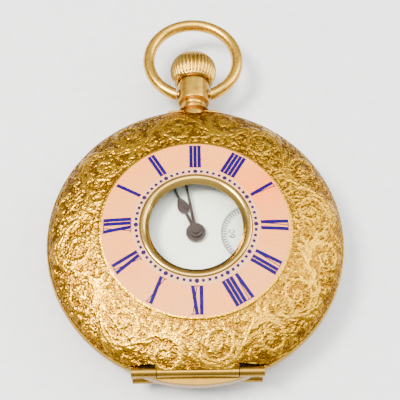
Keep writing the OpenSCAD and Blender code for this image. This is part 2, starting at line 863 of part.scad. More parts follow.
module pallet_cock() {
    color("silver") difference() {
        union() {
            bridge_body(2.88, 3.04) {
                at(fork_p) circle(r = 0.5, $fn = 32);
                at(pallet_foot) circle(r = 0.65, $fn = 32);
                translate(fork_p) rotate(dir(fork_p, pallet_foot)) translate([0, -0.4]) square([2.2, 0.8]);
            }
            at(pallet_foot, 2.88) cylinder(r = 0.65, h = plate_z - 2.88, $fn = 32);
        }
        at(fork_p) cylinder(r = jewel_hole_r, h = 9, $fn = 24);
    }
}

module jewel(h) {
    tube(jewel_r, jewel_hole_r, h, 32);
}

module jewels() {
    color("crimson") {
        for (p = [centre_p, third_p, fourth_p, escape_p, balance_p])
            at(p, bridge_z + 0.1) jewel(0.5);
        for (p = fine_pivots)
            at(p, plate_z + 0.02) jewel(0.4);
    }
}

module movement_screws() {
    color("steelblue") for (p = all_screws)
        at(p, bridge_z - 0.2) difference() {
            union() {
                cylinder(r = screw_head_r, h = 0.2, $fn = 32);
                cylinder(r = screw_r, h = plate_z + 0.5 - bridge_z + 0.2, $fn = 24);
            }
            box([-1, -0.07, -0.5], [1, 0.07, 0.1]);
        }
}

/* ---- power and train ---- */
module mainspring_barrel() {
    color("goldenrod") at(barrel_p) difference() {
        union() {
            translate([0, 0, barrel_teeth_z])
                gear(barrel_teeth, barrel_module, 0.25, dir(barrel_p, centre_p), false);
            translate([0, 0, barrel_z]) cylinder(r = 4.2, h = 0.7, $fn = 96);
        }
        translate([0, 0, barrel_z + 0.13]) cylinder(r = 3.95, h = 0.6, $fn = 96);
        cylinder(r = 0.55, h = 9, $fn = 32);
    }
}

module barrel_arbor() {
    color("lightsteelblue") at(barrel_p) {
        translate([0, 0, ratchet_z]) cylinder(r = 0.45, h = 1.1, $fn = 32);
        translate([0, 0, 2.36]) cylinder(r = 0.5, h = 0.98, $fn = 32);
        translate([0, 0, 2.66]) cylinder(r = 1.1, h = 0.36, $fn = 48);
        translate([0, 0, 3.3]) cylinder(r = 0.22, h = 1.0, $fn = 24);
    }
}

module mainspring() {
    color("steelblue") at(barrel_p, 2.64) spiral(1.35, 3.8, 7, 20, 0.13, 0.4);
}

module ratchet_wheel() {
    color("silver") at(barrel_p, ratchet_z) difference() {
        gear(ratchet_teeth, winding_wheels_module, 0.25, dir(barrel_p, crown_wheel_p), false);
        translate([0, 0, -1]) cylinder(r = 0.45, h = 3, $fn = 32);
    }
}

module crown_wheel() {
    color("silver") at(crown_wheel_p) difference() {
        union() {
            translate([0, 0, ratchet_z])
                gear(crown_wheel_teeth, winding_wheels_module, 0.25, dir(crown_wheel_p, barrel_p), true);
            translate([0, 0, ratchet_z + 0.05]) cylinder(r = 1.92, h = 3.72 - ratchet_z - 0.05, $fn = 64);
            for (i = [0:contrate_teeth - 1])
                rotate(360 / contrate_teeth * (i + 0.5) + 90)
                    box([1.6, -0.11, 3.6], [1.9, 0.11, 4.0]);
        }
        translate([0, 0, ratchet_z + 0.3]) cylinder(r = 1.55, h = 9, $fn = 48);
        translate([0, 0, 0]) cylinder(r = 0.3, h = 9, $fn = 24);
    }
}

click_p = barrel_p + polar(5.75, 205);
module click() {
    color("lightsteelblue") at(click_p, ratchet_z) rotate(205) difference() {
        linear_extrude(0.25) {
            circle(r = 0.42, $fn = 32);
            polygon([[0.2, 0.35], [-0.1, 1.5], [-0.52, 1.75], [-0.38, 0]]);
        }
        translate([0, 0, -1]) cylinder(r = 0.2, h = 3, $fn = 24);
    }
}

module click_spring() {
    color("steelblue") {
        at(click_p, ratchet_z - 0.05) cylinder(r = 0.17, h = 1.2 - 0.35, $fn = 24);
        at(click_p + polar(0.55, 205), ratchet_z + 0.05) rotate(205)
            box([0.1, -1.2, 0], [0.22, 1.4, 0.3]);
    }
}

module centre_wheel() {
    color("goldenrod") {
        translate([0, 0, centre_z])
            wheel(centre_teeth, centre_module, wheel_t, dir(centre_p, third_p), false, 4, 1.1, 0.55);
        translate([0, 0, 2.6])
            gear(centre_leaves, barrel_module, centre_z - 2.6 + 0.01, dir(centre_p, barrel_p), true);
        translate([0, 0, 2.35]) cylinder(r = 0.3, h = 0.5, $fn = 32);
        translate([0, 0, 2.0]) cylinder(r = pivot_r, h = 1, $fn = 24);
        translate([0, 0, centre_z]) cylinder(r = 0.25, h = 0.6, $fn = 32);
        translate([0, 0, centre_z]) cylinder(r = 0.2, h = 3.7, $fn = 32);
    }
}

module third_wheel() {
    color("goldenrod") at(third_p) {
        translate([0, 0, third_z])
            wheel(third_teeth, third_module, wheel_t, dir(third_p, fourth_p), false, 4, 0.8, 0.45);
        translate([0, 0, centre_z - 0.1])
            gear(third_leaves, centre_module, 0.36, dir(third_p, centre_p), true);
        arbor(0.25, 2.36, plate_z - 0.06);
    }
}

module fourth_wheel() {
    color("goldenrod") at(fourth_p) {
        translate([0, 0, fourth_z])
            wheel(fourth_teeth, fourth_module, wheel_t, dir(fourth_p, escape_p), false, 4, 0.8, 0.4);
        translate([0, 0, 2.36]) gear(fourth_leaves, third_module, 0.3, dir(fourth_p, third_p), true);
        arbor(0.2, 2.36, plate_z - 0.06);
        translate([0, 0, 3]) cylinder(r = 0.12, h = second_hand_z + 0.12 - 3, $fn = 24);
    }
}

function escape_points(n, tip, root) = [
    for (i = [0:n - 1])
        for (k = [[0, root], [4, tip - 0.12], [6.2, tip], [9.5, tip - 0.1], [9, root + 0.12], [13, root]])
            polar(k[1], 360 / n * i + k[0])];

module escape_wheel() {
    color("goldenrod") at(escape_p) {
        translate([0, 0, pallet_z]) rotate(dir(escape_p, fork_p) + 4) difference() {
            linear_extrude(wheel_t) polygon(escape_points(escape_teeth, 2.05, 1.5));
            crossings(4, 0.45, 1.3, 0.22, wheel_t);
        }
        translate([0, 0, fourth_z - 0.06])
            gear(escape_leaves, fourth_module, 0.27, dir(escape_p, fourth_p), true);
        arbor(0.16, 2.36, plate_z - 0.06);
    }
}

module pallet_fork() {
    color("lightsteelblue") at(fork_p, pallet_z) rotate(dir(fork_p, balance_p)) {
        linear_extrude(wheel_t) {
            circle(r = 0.32, $fn = 32);
            for (s = [-1, 1]) {
                polygon([[0.1, 0], [-0.15, s * 0.1], [-0.62, s * 1.08], [-0.45, s * 1.3], [-0.3, s * 1.1],
                         [0.15, s * 0.3]]);
                polygon([[2.0, s * 0.12], [2.2, s * 0.5], [2.42, s * 0.55], [2.36, s * 0.2],
                         [2.1, s * 0.17]]);
            }
            translate([0, -0.13]) square([2.1, 0.26]);
        }
        translate([0, 0, 3.0 - pallet_z]) cylinder(r = pivot_r, h = 1, $fn = 24);
        cylinder(r = 0.16, h = plate_z - 0.06 - pallet_z, $fn = 24);
    }
}

module balance_wheel() {
    color("goldenrod") at(balance_p, balance_z) {
        difference() {
            cylinder(r = 4.15, h = 0.3, $fn = 96);
            crossings(2, 0.55, 3.75, 0.45, 0.3);
            translate([0, 0, -1]) cylinder(r = 0.2, h = 3, $fn = 32);
        }
        for (i = [0:13])
            rotate(360 / 14 * (i + 0.5)) translate([4.1, 0, 0.15]) rod_x(0.14, 0.6, 16);
    }
}

module balance_staff() {
    color("lightsteelblue") at(balance_p) {
        arbor(0.2, 2.36, plate_z - 0.06);
        translate([0, 0, roller_z]) cylinder(r = 0.85, h = 0.1, $fn = 48);
        rotate(dir(balance_p, fork_p)) translate([0.62, 0, roller_z]) cylinder(r = 0.1, h = 0.16, $fn = 24);
    }
}

module hairspring() {
    color("steelblue") at(balance_p, hairspring_z) {
        spiral(0.5, 2.0, 8, 20, 0.05, 0.09);
        tube(0.52, 0.2, 0.1, 32);
    }
}

/* ---- winding and setting ---- */
module winding_pinion() {
    color("lightsteelblue") difference() {
        translate([0, 10.95, stem_z]) rotate([90, 0, 0])
            gear(winding_leaves, winding_module, 0.9, -90, false);
        rod_y(0.34, 9, 12);
    }
}

module clutch_wheel() {
    color("lightsteelblue") difference() {
        union() {
            rod_y(0.75, 8.1, 8.6);
            rod_y(0.5, 8.5, 9.4);
            rod_y(0.75, 9.3, 9.95);
        }
        rod_y(0.34, 8, 10);
    }
}

module setting_lever() {
    color("lightsteelblue") {
        at([-2.2, groove_y], plate_top_z + 0.06) difference() {
            linear_extrude(0.2) {
                circle(r = 0.45, $fn = 32);
                translate([0, -0.2]) square([2.2, 0.4]);
                translate([2.2, 0]) circle(r = 0.25, $fn = 24);
            }
            translate([0, 0, -1]) cylinder(r = 0.23, h = 3, $fn = 24);
        }
        at([0, groove_y], stem_z + 0.25) cylinder(r = 0.15, h = plate_top_z + 0.1 - stem_z - 0.25, $fn = 24);
    }
}

case_middle();
pendant();
bow();
crown();
stem();
push_sleeve();
front_lid();
chapter_ring();
chapter_numerals();
chapter_track();
window_ring();
lid_glass();
front_hinge_pin();
bezel();
crystal();
back_cover();
back_hinge_pin();
cuvette();
cuvette_hinge_pin();
lift_spring();
lock_spring();
case_screws();
dial();
dial_numerals();
dial_track();
seconds_dial();
seconds_track();
hour_hand();
minute_hand();
seconds_hand();
cannon_pinion();
minute_wheel();
hour_wheel();
main_plate();
barrel_bridge();
train_bridge();
balance_cock();
pallet_cock();
jewels();
movement_screws();
mainspring_barrel();
barrel_arbor();
mainspring();
ratchet_wheel();
crown_wheel();
click();
click_spring();
centre_wheel();
third_wheel();
fourth_wheel();
escape_wheel();
pallet_fork();
balance_wheel();
balance_staff();
hairspring();
winding_pinion();
clutch_wheel();
setting_lever();
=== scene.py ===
import json
import math

import bmesh
import bpy
import numpy as np
from mathutils import Matrix, Vector


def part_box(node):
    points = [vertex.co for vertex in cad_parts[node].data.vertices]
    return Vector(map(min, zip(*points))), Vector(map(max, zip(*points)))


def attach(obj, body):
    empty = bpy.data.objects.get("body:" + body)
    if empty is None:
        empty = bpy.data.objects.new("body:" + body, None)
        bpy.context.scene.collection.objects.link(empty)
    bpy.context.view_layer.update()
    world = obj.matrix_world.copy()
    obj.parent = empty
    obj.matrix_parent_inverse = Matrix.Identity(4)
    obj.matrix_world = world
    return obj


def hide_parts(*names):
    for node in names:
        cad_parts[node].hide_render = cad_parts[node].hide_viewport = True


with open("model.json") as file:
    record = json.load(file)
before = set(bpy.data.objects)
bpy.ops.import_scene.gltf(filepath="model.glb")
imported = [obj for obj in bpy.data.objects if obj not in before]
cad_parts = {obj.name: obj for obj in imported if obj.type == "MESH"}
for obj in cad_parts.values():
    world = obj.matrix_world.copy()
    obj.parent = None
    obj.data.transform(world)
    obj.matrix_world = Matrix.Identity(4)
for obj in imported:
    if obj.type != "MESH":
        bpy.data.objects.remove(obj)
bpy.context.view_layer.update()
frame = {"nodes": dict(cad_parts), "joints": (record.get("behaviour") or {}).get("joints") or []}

# The looks of a half-hunter fob watch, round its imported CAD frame.
# Lengths in this script are millimetres until a mesh is made.
MM = 0.001
TAU = 2 * math.pi
rng = np.random.default_rng(12)


# ---- sizes, from the frame ----

def span(node):
    """Lowest and highest corners of a CAD node, in millimetres."""
    low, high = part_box(node)
    return np.array(low) / MM, np.array(high) / MM


def joint_at(name):
    """Where a joint's axis passes, in millimetres."""
    return np.array(next(j for j in frame["joints"] if j["name"] == name)["pos_m"]) / MM


RIM_BELOW_EQUATOR = 0.56
LID_POWER = 2.2
BACK_POWER = 3.0
REST_R = 8.0
ENAMEL_T = 0.15
SHELL_T = 0.35
HINGE_R = 0.58
CHORD_Y = 15.3
NOTCH_R = 1.75
KNUCKLE_HALF = 4.4
RING_SEAT_DEPTH = 0.32
RING_SEAT_WIDTH = 0.5
LENS_SEAT_WIDTH = 0.23
LENS_RISE = 0.14
CRYSTAL_RISE = 1.4

# how far inside the band's radius a cover's engraving, its rim and its wall begin
ENGRAVED_INSET = 0.15
RIM_INSET = 0.1
RIM_WALL = 0.6
LID_WALL = 0.66
BACK_WALL = 0.62

# material slots of a cover
OUTSIDE, INSIDE, EDGE = 0, 1, 2

case_r = span("case_middle")[1][0]
equator_z = span("back_cover")[1][2] + RIM_BELOW_EQUATOR
chapter_r = span("chapter_ring")[1][0]
ring_r = span("window_ring")[1][0]
lid_hinge = joint_at("lid_hinge")
back_hinge = joint_at("back_hinge")
stem_z = joint_at("bow_swivel")[2]
seat_z = span("window_ring")[0][2] + RING_SEAT_DEPTH


def dome(r, radius, rise, power):
    return rise * np.maximum(0, 1 - (r / radius) ** power) ** (1 / power)


lid_rise = (span("chapter_ring")[1][2] - equator_z) / dome(ring_r, case_r, 1, LID_POWER)
back_depth = equator_z / dome(REST_R, case_r, 1, BACK_POWER)


def lid_out(r):
    return equator_z + dome(r, case_r, lid_rise, LID_POWER)


def lid_in(r):
    return equator_z + dome(r, case_r - SHELL_T - 0.12, lid_rise - SHELL_T, LID_POWER)


def back_out(r):
    return np.maximum(0, equator_z - dome(r, case_r, back_depth, BACK_POWER))


def back_in(r):
    return np.maximum(SHELL_T, equator_z - dome(r, case_r - 0.5, back_depth - SHELL_T, BACK_POWER))


# ---- meshes ----

class Part:
    """Vertices, faces, sharp edges and a material index, ready to be joined into one mesh."""

    def __init__(self, points, faces, sharp=(), material=0, relief=None):
        self.points = np.asarray(points, float).reshape(-1, 3)
        self.faces = faces
        self.sharp = list(sharp)
        self.material = material
        self.relief = relief


def grid(points, loop_rows=False, creases=(), caps=(), material=0, relief=None):
    """Faces over points[row, column], closed round the columns.

    creases are the rows that stay sharp, and caps are "first" and "last".
    """
    rows, columns = points.shape[:2]
    index = np.arange(rows * columns).reshape(rows, columns)
    across = np.roll(index, -1, axis=1)
    below, below_across = np.roll(index, -1, axis=0), np.roll(across, -1, axis=0)
    count = rows if loop_rows else rows - 1
    quads = np.stack([index, across, below_across, below], axis=-1)[:count].reshape(-1, 4)
    faces = quads.tolist()
    sharp = [pair for row in creases for pair in zip(index[row].tolist(), across[row].tolist())]
    flat = points.reshape(-1, 3)
    if "first" in caps:
        faces.append(index[0][::-1].tolist())
    if "last" in caps:
        faces.append(index[-1].tolist())
    return Part(flat, faces, sharp, material, relief)


def lathe(profile, columns, axis="Z", origin=(0, 0, 0), creases=(), loop_rows=False, caps=(), material=0):
    """Turns (radius, height) points round an axis."""
    profile = np.asarray(profile, float)
    turn = np.arange(columns) * TAU / columns
    radius, height = profile[:, :1], profile[:, 1:]
    a, b = radius * np.cos(turn), radius * np.sin(turn)
    h = np.repeat(height, columns, axis=1)
    order = {"Z": (a, b, h), "Y": (b, h, a), "X": (h, a, b)}[axis]
    points = np.stack(order, axis=-1) + np.asarray(origin, float)
    return grid(points, loop_rows, creases, caps, material)


def rod(radius, start, end, columns=48, edge=0.05, material=0):
    """A round bar along X between two points, with its edges just broken."""
    length = end[0] - start[0]
    profile = [(radius - edge, 0), (radius, edge), (radius, length - edge), (radius - edge, length)]
    return lathe(profile, columns, "X", start, (1, 2), caps=("first", "last"), material=material)


def make(name, parts, materials, body, slot, *replaced):
    """One object out of parts, riding on a CAD body and standing for CAD nodes."""
    points, faces, sharp, material, relief, first = [], [], [], [], [], 0
    for part in parts:
        points.append(part.points)
        faces += [[first + i for i in face] for face in part.faces]
        sharp += [(first + a, first + b) for a, b in part.sharp]
        count = len(part.faces)
        material.append(np.full(count, part.material) if np.isscalar(part.material) else part.material)
        relief.append(np.ones(len(part.points)) if part.relief is None else np.ravel(part.relief))
        first += len(part.points)
    mesh = bpy.data.meshes.new(name)
    mesh.from_pydata((np.concatenate(points) * MM).tolist(), [], faces)
    for m in materials:
        mesh.materials.append(m)
    mesh.polygons.foreach_set("material_index", np.concatenate(material).astype(np.int32))
    mesh.shade_smooth()
    mark_sharp(mesh, sharp)
    height = mesh.attributes.new("relief", "FLOAT", "POINT")
    height.data.foreach_set("value", np.concatenate(relief).astype(np.float32))
    mesh.validate()
    outward(mesh)
    obj = bpy.data.objects.new(name, mesh)
    bpy.context.scene.collection.objects.link(obj)
    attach(obj, body)
    if replaced:
        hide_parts(*replaced)
    return obj


def mark_sharp(mesh, pairs):
    if not pairs:
        return
    ends = np.zeros(len(mesh.edges) * 2, np.int64)
    mesh.edges.foreach_get("vertices", ends)
    size = len(mesh.vertices)
    key = np.sort(ends.reshape(-1, 2), axis=1) @ np.array([size, 1])
    wanted = np.sort(np.array(pairs, np.int64), axis=1) @ np.array([size, 1])
    flags = mesh.attributes.new("sharp_edge", "BOOLEAN", "EDGE")
    flags.data.foreach_set("value", np.isin(key, wanted))


def outward(mesh):
    work = bmesh.new()
    work.from_mesh(mesh)
    bmesh.ops.recalc_face_normals(work, faces=work.faces)
    work.to_mesh(mesh)
    work.free()


# ---- engraving ----

class Chart:
    """A round shell's outside as a flat sheet: an angle round it and a distance s along its curve."""

    def __init__(self, turn, s, radius):
        self.turn, self.s, self.radius = turn, s, radius
        self.height = np.zeros(s.shape)

    def radius_at(self, s):
        return np.interp(s, self.s[:, 0], self.radius[:, 0])

    def stroke(self, at, heading, length, width, bend=0.0, kind="leaf", lobes=3):
        """One cut or leaf of the pattern, raised where nothing higher stands."""
        turn0, s0 = at
        r0 = max(self.radius_at(s0), 1.0)
        reach = length + width
        away = (self.turn - turn0 + math.pi) % TAU - math.pi
        columns = np.nonzero(np.abs(away) * r0 < reach)[0]
        if not len(columns):
            return
        du = np.broadcast_to(away[columns] * r0, (self.s.shape[0], len(columns)))
        dv = self.s[:, columns] - s0
        near = np.abs(dv) < reach
        x, y = du[near], dv[near]
        steps = 18
        t = np.linspace(0, 1, steps)
        direction = heading + bend * t
        sx = np.concatenate([[0], np.cumsum(np.cos(direction[:-1]))]) * length / (steps - 1)
        sy = np.concatenate([[0], np.cumsum(np.sin(direction[:-1]))]) * length / (steps - 1)
        ex, ey = x[:, None] - sx, y[:, None] - sy
        best = np.argmin(ex ** 2 + ey ** 2, axis=1)
        pick = np.arange(len(x))
        along = t[best]
        ex, ey = ex[pick, best], ey[pick, best]
        across = ey * np.cos(direction[best]) - ex * np.sin(direction[best])
        distance = np.hypot(ex, ey)
        if kind == "stem":
            q = distance / (width * (1 - 0.35 * along))
            h = np.where(q < 1, 0.55 + 0.45 * np.sqrt(np.maximum(0, 1 - q ** 2)), 0)
        else:
            shape = np.sin(math.pi * np.clip(along, 0.02, 0.98) ** 0.62) ** 0.8
            edge = width * shape * (1 + 0.2 * np.cos(TAU * lobes * along)) + 1e-6
            q = np.maximum(distance, np.abs(across)) / edge
            veins = 0.5 + 0.5 * np.cos(TAU * (length / 0.24 * along - 0.7 * q))
            if kind == "leaf":
                h = 0.42 + 0.58 * (1 - np.minimum(q, 1)) ** 0.8 - 0.22 * veins * q
            else:
                h = 0.15 + 0.8 * q ** 0.8
            h = np.where(q < 1, h, 0)
        block = self.height[:, columns]
        block[near] = np.maximum(block[near], h)
        self.height[:, columns] = block

    def cover(self, at, reach):
        """How much of a small patch is already cut, from 0 to 1."""
        away = (self.turn - at[0] + math.pi) % TAU - math.pi
        columns = np.abs(away) * self.radius_at(at[1]) < reach
        rows = np.abs(self.s[:, 0] - at[1]) < reach
        patch = self.height[np.ix_(rows, columns)]
        return float((patch > 0.1).mean()) if patch.size else 1.0


def scroll(chart, centre, size, start, sense, turns=1.3):
    """A spiral stem with leaves on its outside, ending in a flower."""
    turn0, s0 = centre
    r0 = max(float(chart.radius_at(s0)), 1.0)

    def place(t):
        rho = size * (1 - 0.8 * t)
        a = start + sense * TAU * turns * t
        return (turn0 + rho * math.cos(a) / r0, s0 + rho * math.sin(a)), a + sense * math.pi / 2

    parts = 18
    for i in range(parts):
        t = i / parts
        at, tangent = place(t)
        step = size * (1 - 0.8 * t) * TAU * turns / parts
        chart.stroke(at, tangent + sense * 0.1, step * 1.5, 0.17 * (1 - 0.4 * t), sense * 0.3, "stem")
    for i in range(11):
        t = 0.03 + 0.075 * i
        at, tangent = place(t)
        small = 1 - 0.62 * t
        chart.stroke(at, tangent - sense * (0.75 + 0.25 * (i % 2)), 0.66 * size * small,
                     0.15 * size * small, sense * 1.3, "leaf", 2 + i % 3)
    for i in range(6):
        t = 0.1 + 0.11 * i
        at, tangent = place(t)
        chart.stroke(at, tangent + sense * 0.7, 0.3 * size * (1 - 0.5 * t), 0.09 * size,
                     sense * 0.9, "cut", 2)
    for i in range(7):
        chart.stroke((turn0, s0), start + TAU * i / 7, 0.3 * size, 0.1 * size, 0.2, "leaf", 1)


def running_scroll(chart, low, high, waves, phase=0.0, fill=2600):
    """A wavy vine between two distances, with a scroll in each hollow and leaves in every gap."""
    middle, depth = (low + high) / 2, high - low
    swing = 0.27 * depth

    def vine(turn):
        return middle + swing * math.sin(waves * turn + phase)

    samples = waves * 16
    for i in range(samples):
        turn = TAU * i / samples
        r = float(chart.radius_at(vine(turn)))
        step = TAU / samples
        slope = math.atan2(vine(turn + step) - vine(turn), step * r)
        length = math.hypot(vine(turn + step) - vine(turn), step * r)
        chart.stroke((turn, vine(turn)), slope, length * 1.4, 0.2, 0, "stem")
        side = 1 if i % 2 else -1
        chart.stroke((turn, vine(turn)), slope + side * 0.8, 0.24 * depth, 0.055 * depth,
                     -side * 1.2, "leaf", 2 + i % 2)
    for i in range(2 * waves):
        turn = (math.pi * (i + 0.5) - phase) / waves
        up = 1 if i % 2 == 0 else -1
        centre = (turn, middle - up * 0.13 * depth)
        scroll(chart, centre, 0.31 * depth, math.pi / 2 * up + 0.5 * up, -up)
        for k in range(4):
            lean = math.pi / 2 * up + (k - 1.5) * 0.5
            base = (turn + (k - 1.5) * 0.055, middle + up * (swing + 0.02 * depth))
            chart.stroke(base, lean, 0.2 * depth, 0.055 * depth, (k - 1.5) * 0.5, "leaf", 2)
    for _ in range(fill):
        at = (rng.uniform(0, TAU), rng.uniform(low, high))
        if chart.cover(at, 0.22) < 0.5:
            heading = math.sin(3 * at[0]) + rng.uniform(-0.9, 0.9)
            chart.stroke(at, heading, rng.uniform(0.5, 1.0), rng.uniform(0.1, 0.19),
                         rng.uniform(-1.2, 1.2), ("leaf", "cut")[int(rng.integers(2))], 2)


def arc_length(profile, r_low, r_high, count=2000):
    r = np.linspace(r_low, r_high, count)
    z = profile(r)
    s = np.concatenate([[0], np.cumsum(np.hypot(np.diff(r), np.diff(z)))])
    return r, s


def turns_with(count, corners):
    """Angles round a circle, evenly spaced, with one exactly on each corner."""
    edges = sorted(corners)
    edges.append(edges[0] + TAU)
    angles = []
    for a, b in zip(edges, edges[1:]):
        share = max(2, round(count * (b - a) / TAU))
        angles += list(a + (b - a) * np.arange(share) / share)
    return np.array(angles)


def engraved_shell(profile, r_low, rows, columns, depth, pattern, sign, tab_y):
    """The outside of a cover: rows of points and their relief. sign is +1 if its outside faces up."""
    r_edge = case_r - ENGRAVED_INSET
    corner = math.asin(CHORD_Y / (case_r - RIM_INSET))
    step = math.atan2(CHORD_Y, KNUCKLE_HALF)
    corners = [-corner, corner - math.pi, -step, step - math.pi]
    turn = turns_with(columns, corners)
    chord = np.where(np.abs(np.cos(turn)) < math.cos(step), tab_y, CHORD_Y)
    reach = np.where(np.sin(turn) < 0, chord / np.maximum(-np.sin(turn), 1e-9), 99.0)
    half = np.cos(turn) * r_edge
    notch_z = np.sqrt(np.maximum(0, NOTCH_R ** 2 - half ** 2))
    notch = (np.sin(turn) > 0) & (np.abs(half) < NOTCH_R)
    r_table, s_table = arc_length(profile, r_low, r_edge)
    lift = (profile(r_table) - stem_z) * sign
    notch_r = np.interp(-notch_z, -lift, r_table)
    r_end = np.minimum(r_edge, reach)
    r_end = np.where(notch, np.minimum(r_end, notch_r), r_end)
    even = np.interp(np.linspace(0, s_table[-1], rows), s_table, r_table)
    share = (even - r_low) / (r_edge - r_low)
    radius = r_low + share[:, None] * (r_end - r_low)
    s = np.interp(radius, r_table, s_table)
    chart = Chart(turn, s, radius)
    plain = pattern(chart, s_table[-1])
    relief = np.clip(chart.height, 0, 1)
    ground = relief <= 0.02
    relief = relief + ground * rng.uniform(0, 0.45, relief.shape)
    relief = np.where(plain, 1.0, relief)
    z = profile(radius)
    slope = (profile(radius + 0.01) - profile(radius - 0.01)) / 0.02
    run = np.sqrt(1 + slope ** 2)
    cut = depth * (1 - relief)
    out_r, out_z = -slope / run * sign, sign / run
    r, h = radius - cut * out_r, z - cut * out_z
    points = np.stack([r * np.cos(turn), r * np.sin(turn), h], axis=-1)
    return turn, r_end, points, relief


def ring_row(turn, r, z):
    r, z = np.broadcast_to(r, turn.shape), np.broadcast_to(z, turn.shape)
    return np.stack([r * np.cos(turn), r * np.sin(turn), z], axis=-1)


# ---- materials ----

class Nodes:
    """A node tree with short ways to add to it."""

    def __init__(self, name):
        self.material = bpy.data.materials.new(name)
        self.material.use_nodes = True
        self.tree = self.material.node_tree
        self.shader = self.tree.nodes["Principled BSDF"]
        self.place = self.add("ShaderNodeTexCoord").outputs["Object"]

    def add(self, kind, **settings):
        node = self.tree.nodes.new(kind)
        for key, value in settings.items():
            setattr(node, key, value)
        return node

    def link(self, source, target):
        self.tree.links.new(source, target)

    def set(self, **values):
        for key, value in values.items():
            self.shader.inputs[key.replace("_", " ")].default_value = value

    def noise(self, size, detail=4.0, rough=0.6, place=None):
        """Cloudy noise whose features are about size millimetres across."""
        node = self.add("ShaderNodeTexNoise")
        self.link(place or self.place, node.inputs["Vector"])
        node.inputs["Scale"].default_value = 1 / (size * MM)
        node.inputs["Detail"].default_value = detail
        node.inputs["Roughness"].default_value = rough
        return node.outputs["Fac"]

    def cells(self, size, place=None, feature="F1"):
        node = self.add("ShaderNodeTexVoronoi", feature=feature)
        self.link(place or self.place, node.inputs["Vector"])
        node.inputs["Scale"].default_value = 1 / (size * MM)
        return node.outputs["Distance"]

    def stretched(self, x, y, z, turn=0.0):
        node = self.add("ShaderNodeMapping")
        self.link(self.place, node.inputs["Vector"])
        node.inputs["Scale"].default_value = (x, y, z)
        node.inputs["Rotation"].default_value = (0, 0, turn)
        return node.outputs["Vector"]

    def maths(self, operation, a, b=None):
        node = self.add("ShaderNodeMath", operation=operation)
        for socket, value in zip(node.inputs, (a, b)):
            if value is None:
                continue
            if isinstance(value, (int, float)):
                socket.default_value = value
            else:
                self.link(value, socket)
        return node.outputs[0]

    def polar(self, centre=(0, 0)):
        """Angle and radius, in metres, round an upright line."""
        split = self.add("ShaderNodeSeparateXYZ")
        self.link(self.place, split.inputs[0])
        x = self.maths("SUBTRACT", split.outputs["X"], centre[0] * MM)
        y = self.maths("SUBTRACT", split.outputs["Y"], centre[1] * MM)
        squares = self.maths("ADD", self.maths("MULTIPLY", x, x), self.maths("MULTIPLY", y, y))
        return self.maths("ARCTAN2", y, x), self.maths("SQRT", squares)

    def ramp(self, value, *stops):
        """Colours or greys along a value, as (position, colour) pairs."""
        node = self.add("ShaderNodeValToRGB")
        self.link(value, node.inputs["Fac"])
        points = node.color_ramp.elements
        while len(points) < len(stops):
            points.new(0.5)
        for point, (position, colour) in zip(points, stops):
            point.position = position
            point.color = (*colour, 1) if hasattr(colour, "__len__") else (colour, colour, colour, 1)
        return node.outputs["Color"]

    def mix(self, share, a, b, blend="MIX"):
        node = self.add("ShaderNodeMix", data_type="RGBA", blend_type=blend)
        for socket, value in ((node.inputs[0], share), (node.inputs[6], a), (node.inputs[7], b)):
            if isinstance(value, (int, float)):
                socket.default_value = value
            elif hasattr(value, "__len__"):
                socket.default_value = (*value, 1)
            else:
                self.link(value, socket)
        return node.outputs[2]

    def bump(self, height, strength, distance, after=None):
        node = self.add("ShaderNodeBump")
        node.inputs["Strength"].default_value = strength
        node.inputs["Distance"].default_value = distance * MM
        self.link(height, node.inputs["Height"])
        if after:
            self.link(after, node.inputs["Normal"])
        return node.outputs["Normal"]

    def colour(self, source):
        self.link(source, self.shader.inputs["Base Color"])

    def rough(self, source):
        self.link(source, self.shader.inputs["Roughness"])

    def normal(self, source):
        self.link(source, self.shader.inputs["Normal"])


def engraved_gold():
    n = Nodes("engraved_gold")
    n.set(Metallic=1.0)
    relief = n.add("ShaderNodeAttribute", attribute_name="relief").outputs["Fac"]
    # Painted shade: the colour darkens from the raised tops down to the cut ground of the engraving. The
    # whole ramp is also kept darker than gold's own colour, as painted dimmer reflections.
    recess_shaded_colour = n.ramp(relief, (0.0, (0.10, 0.034, 0.001)), (0.4, (0.34, 0.165, 0.006)),
                  (1.0, (0.56, 0.30, 0.010)))
    patches = n.ramp(n.noise(2.4, 3), (0.35, (0.96, 0.90, 0.80)), (0.65, (1.0, 1.0, 1.0)))
    n.colour(n.mix(1.0, recess_shaded_colour, patches, "MULTIPLY"))
    n.rough(n.ramp(n.noise(0.35, 5), (0.3, 0.14), (0.7, 0.30)))
    cuts = n.bump(n.cells(0.19), 0.8, 0.05)
    hatch = n.noise(0.14, 2, 0.5, n.stretched(1.0, 0.25, 1.0, 0.6))
    n.normal(n.bump(hatch, 0.6, 0.04, cuts))
    return n.material


def polished_gold(name, colour, low=0.1, high=0.24, grain=0.0):
    n = Nodes(name)
    n.set(Metallic=1.0)
    darker = tuple(c * 0.86 for c in colour)
    n.colour(n.mix(n.ramp(n.noise(1.6, 4), (0.35, 0.0), (0.65, 1.0)), darker, colour))
    n.rough(n.ramp(n.noise(0.5, 6), (0.3, low), (0.7, high)))
    scratches = n.bump(n.noise(0.12, 3, 0.6, n.stretched(1.0, 0.18, 0.4, 0.4)), 0.12, 0.006)
    if grain:
        scratches = n.bump(n.cells(0.2), grain, 0.03, scratches)
        scratches = n.bump(n.noise(0.12, 3), grain, 0.02, scratches)
    n.normal(scratches)
    return n.material


def satin_gold():
    n = Nodes("satin_gold")
    n.set(Metallic=1.0)
    _, radius = n.polar()
    rings = n.maths("SINE", n.maths("MULTIPLY", radius, 26000))
    clouds = n.ramp(n.noise(3.0, 4), (0.35, 0.0), (0.65, 1.0))
    n.colour(n.mix(clouds, (0.36, 0.20, 0.03), (0.48, 0.28, 0.05)))
    n.rough(n.ramp(n.noise(0.8, 5), (0.3, 0.24), (0.7, 0.42)))
    n.normal(n.bump(rings, 0.08, 0.004))
    return n.material


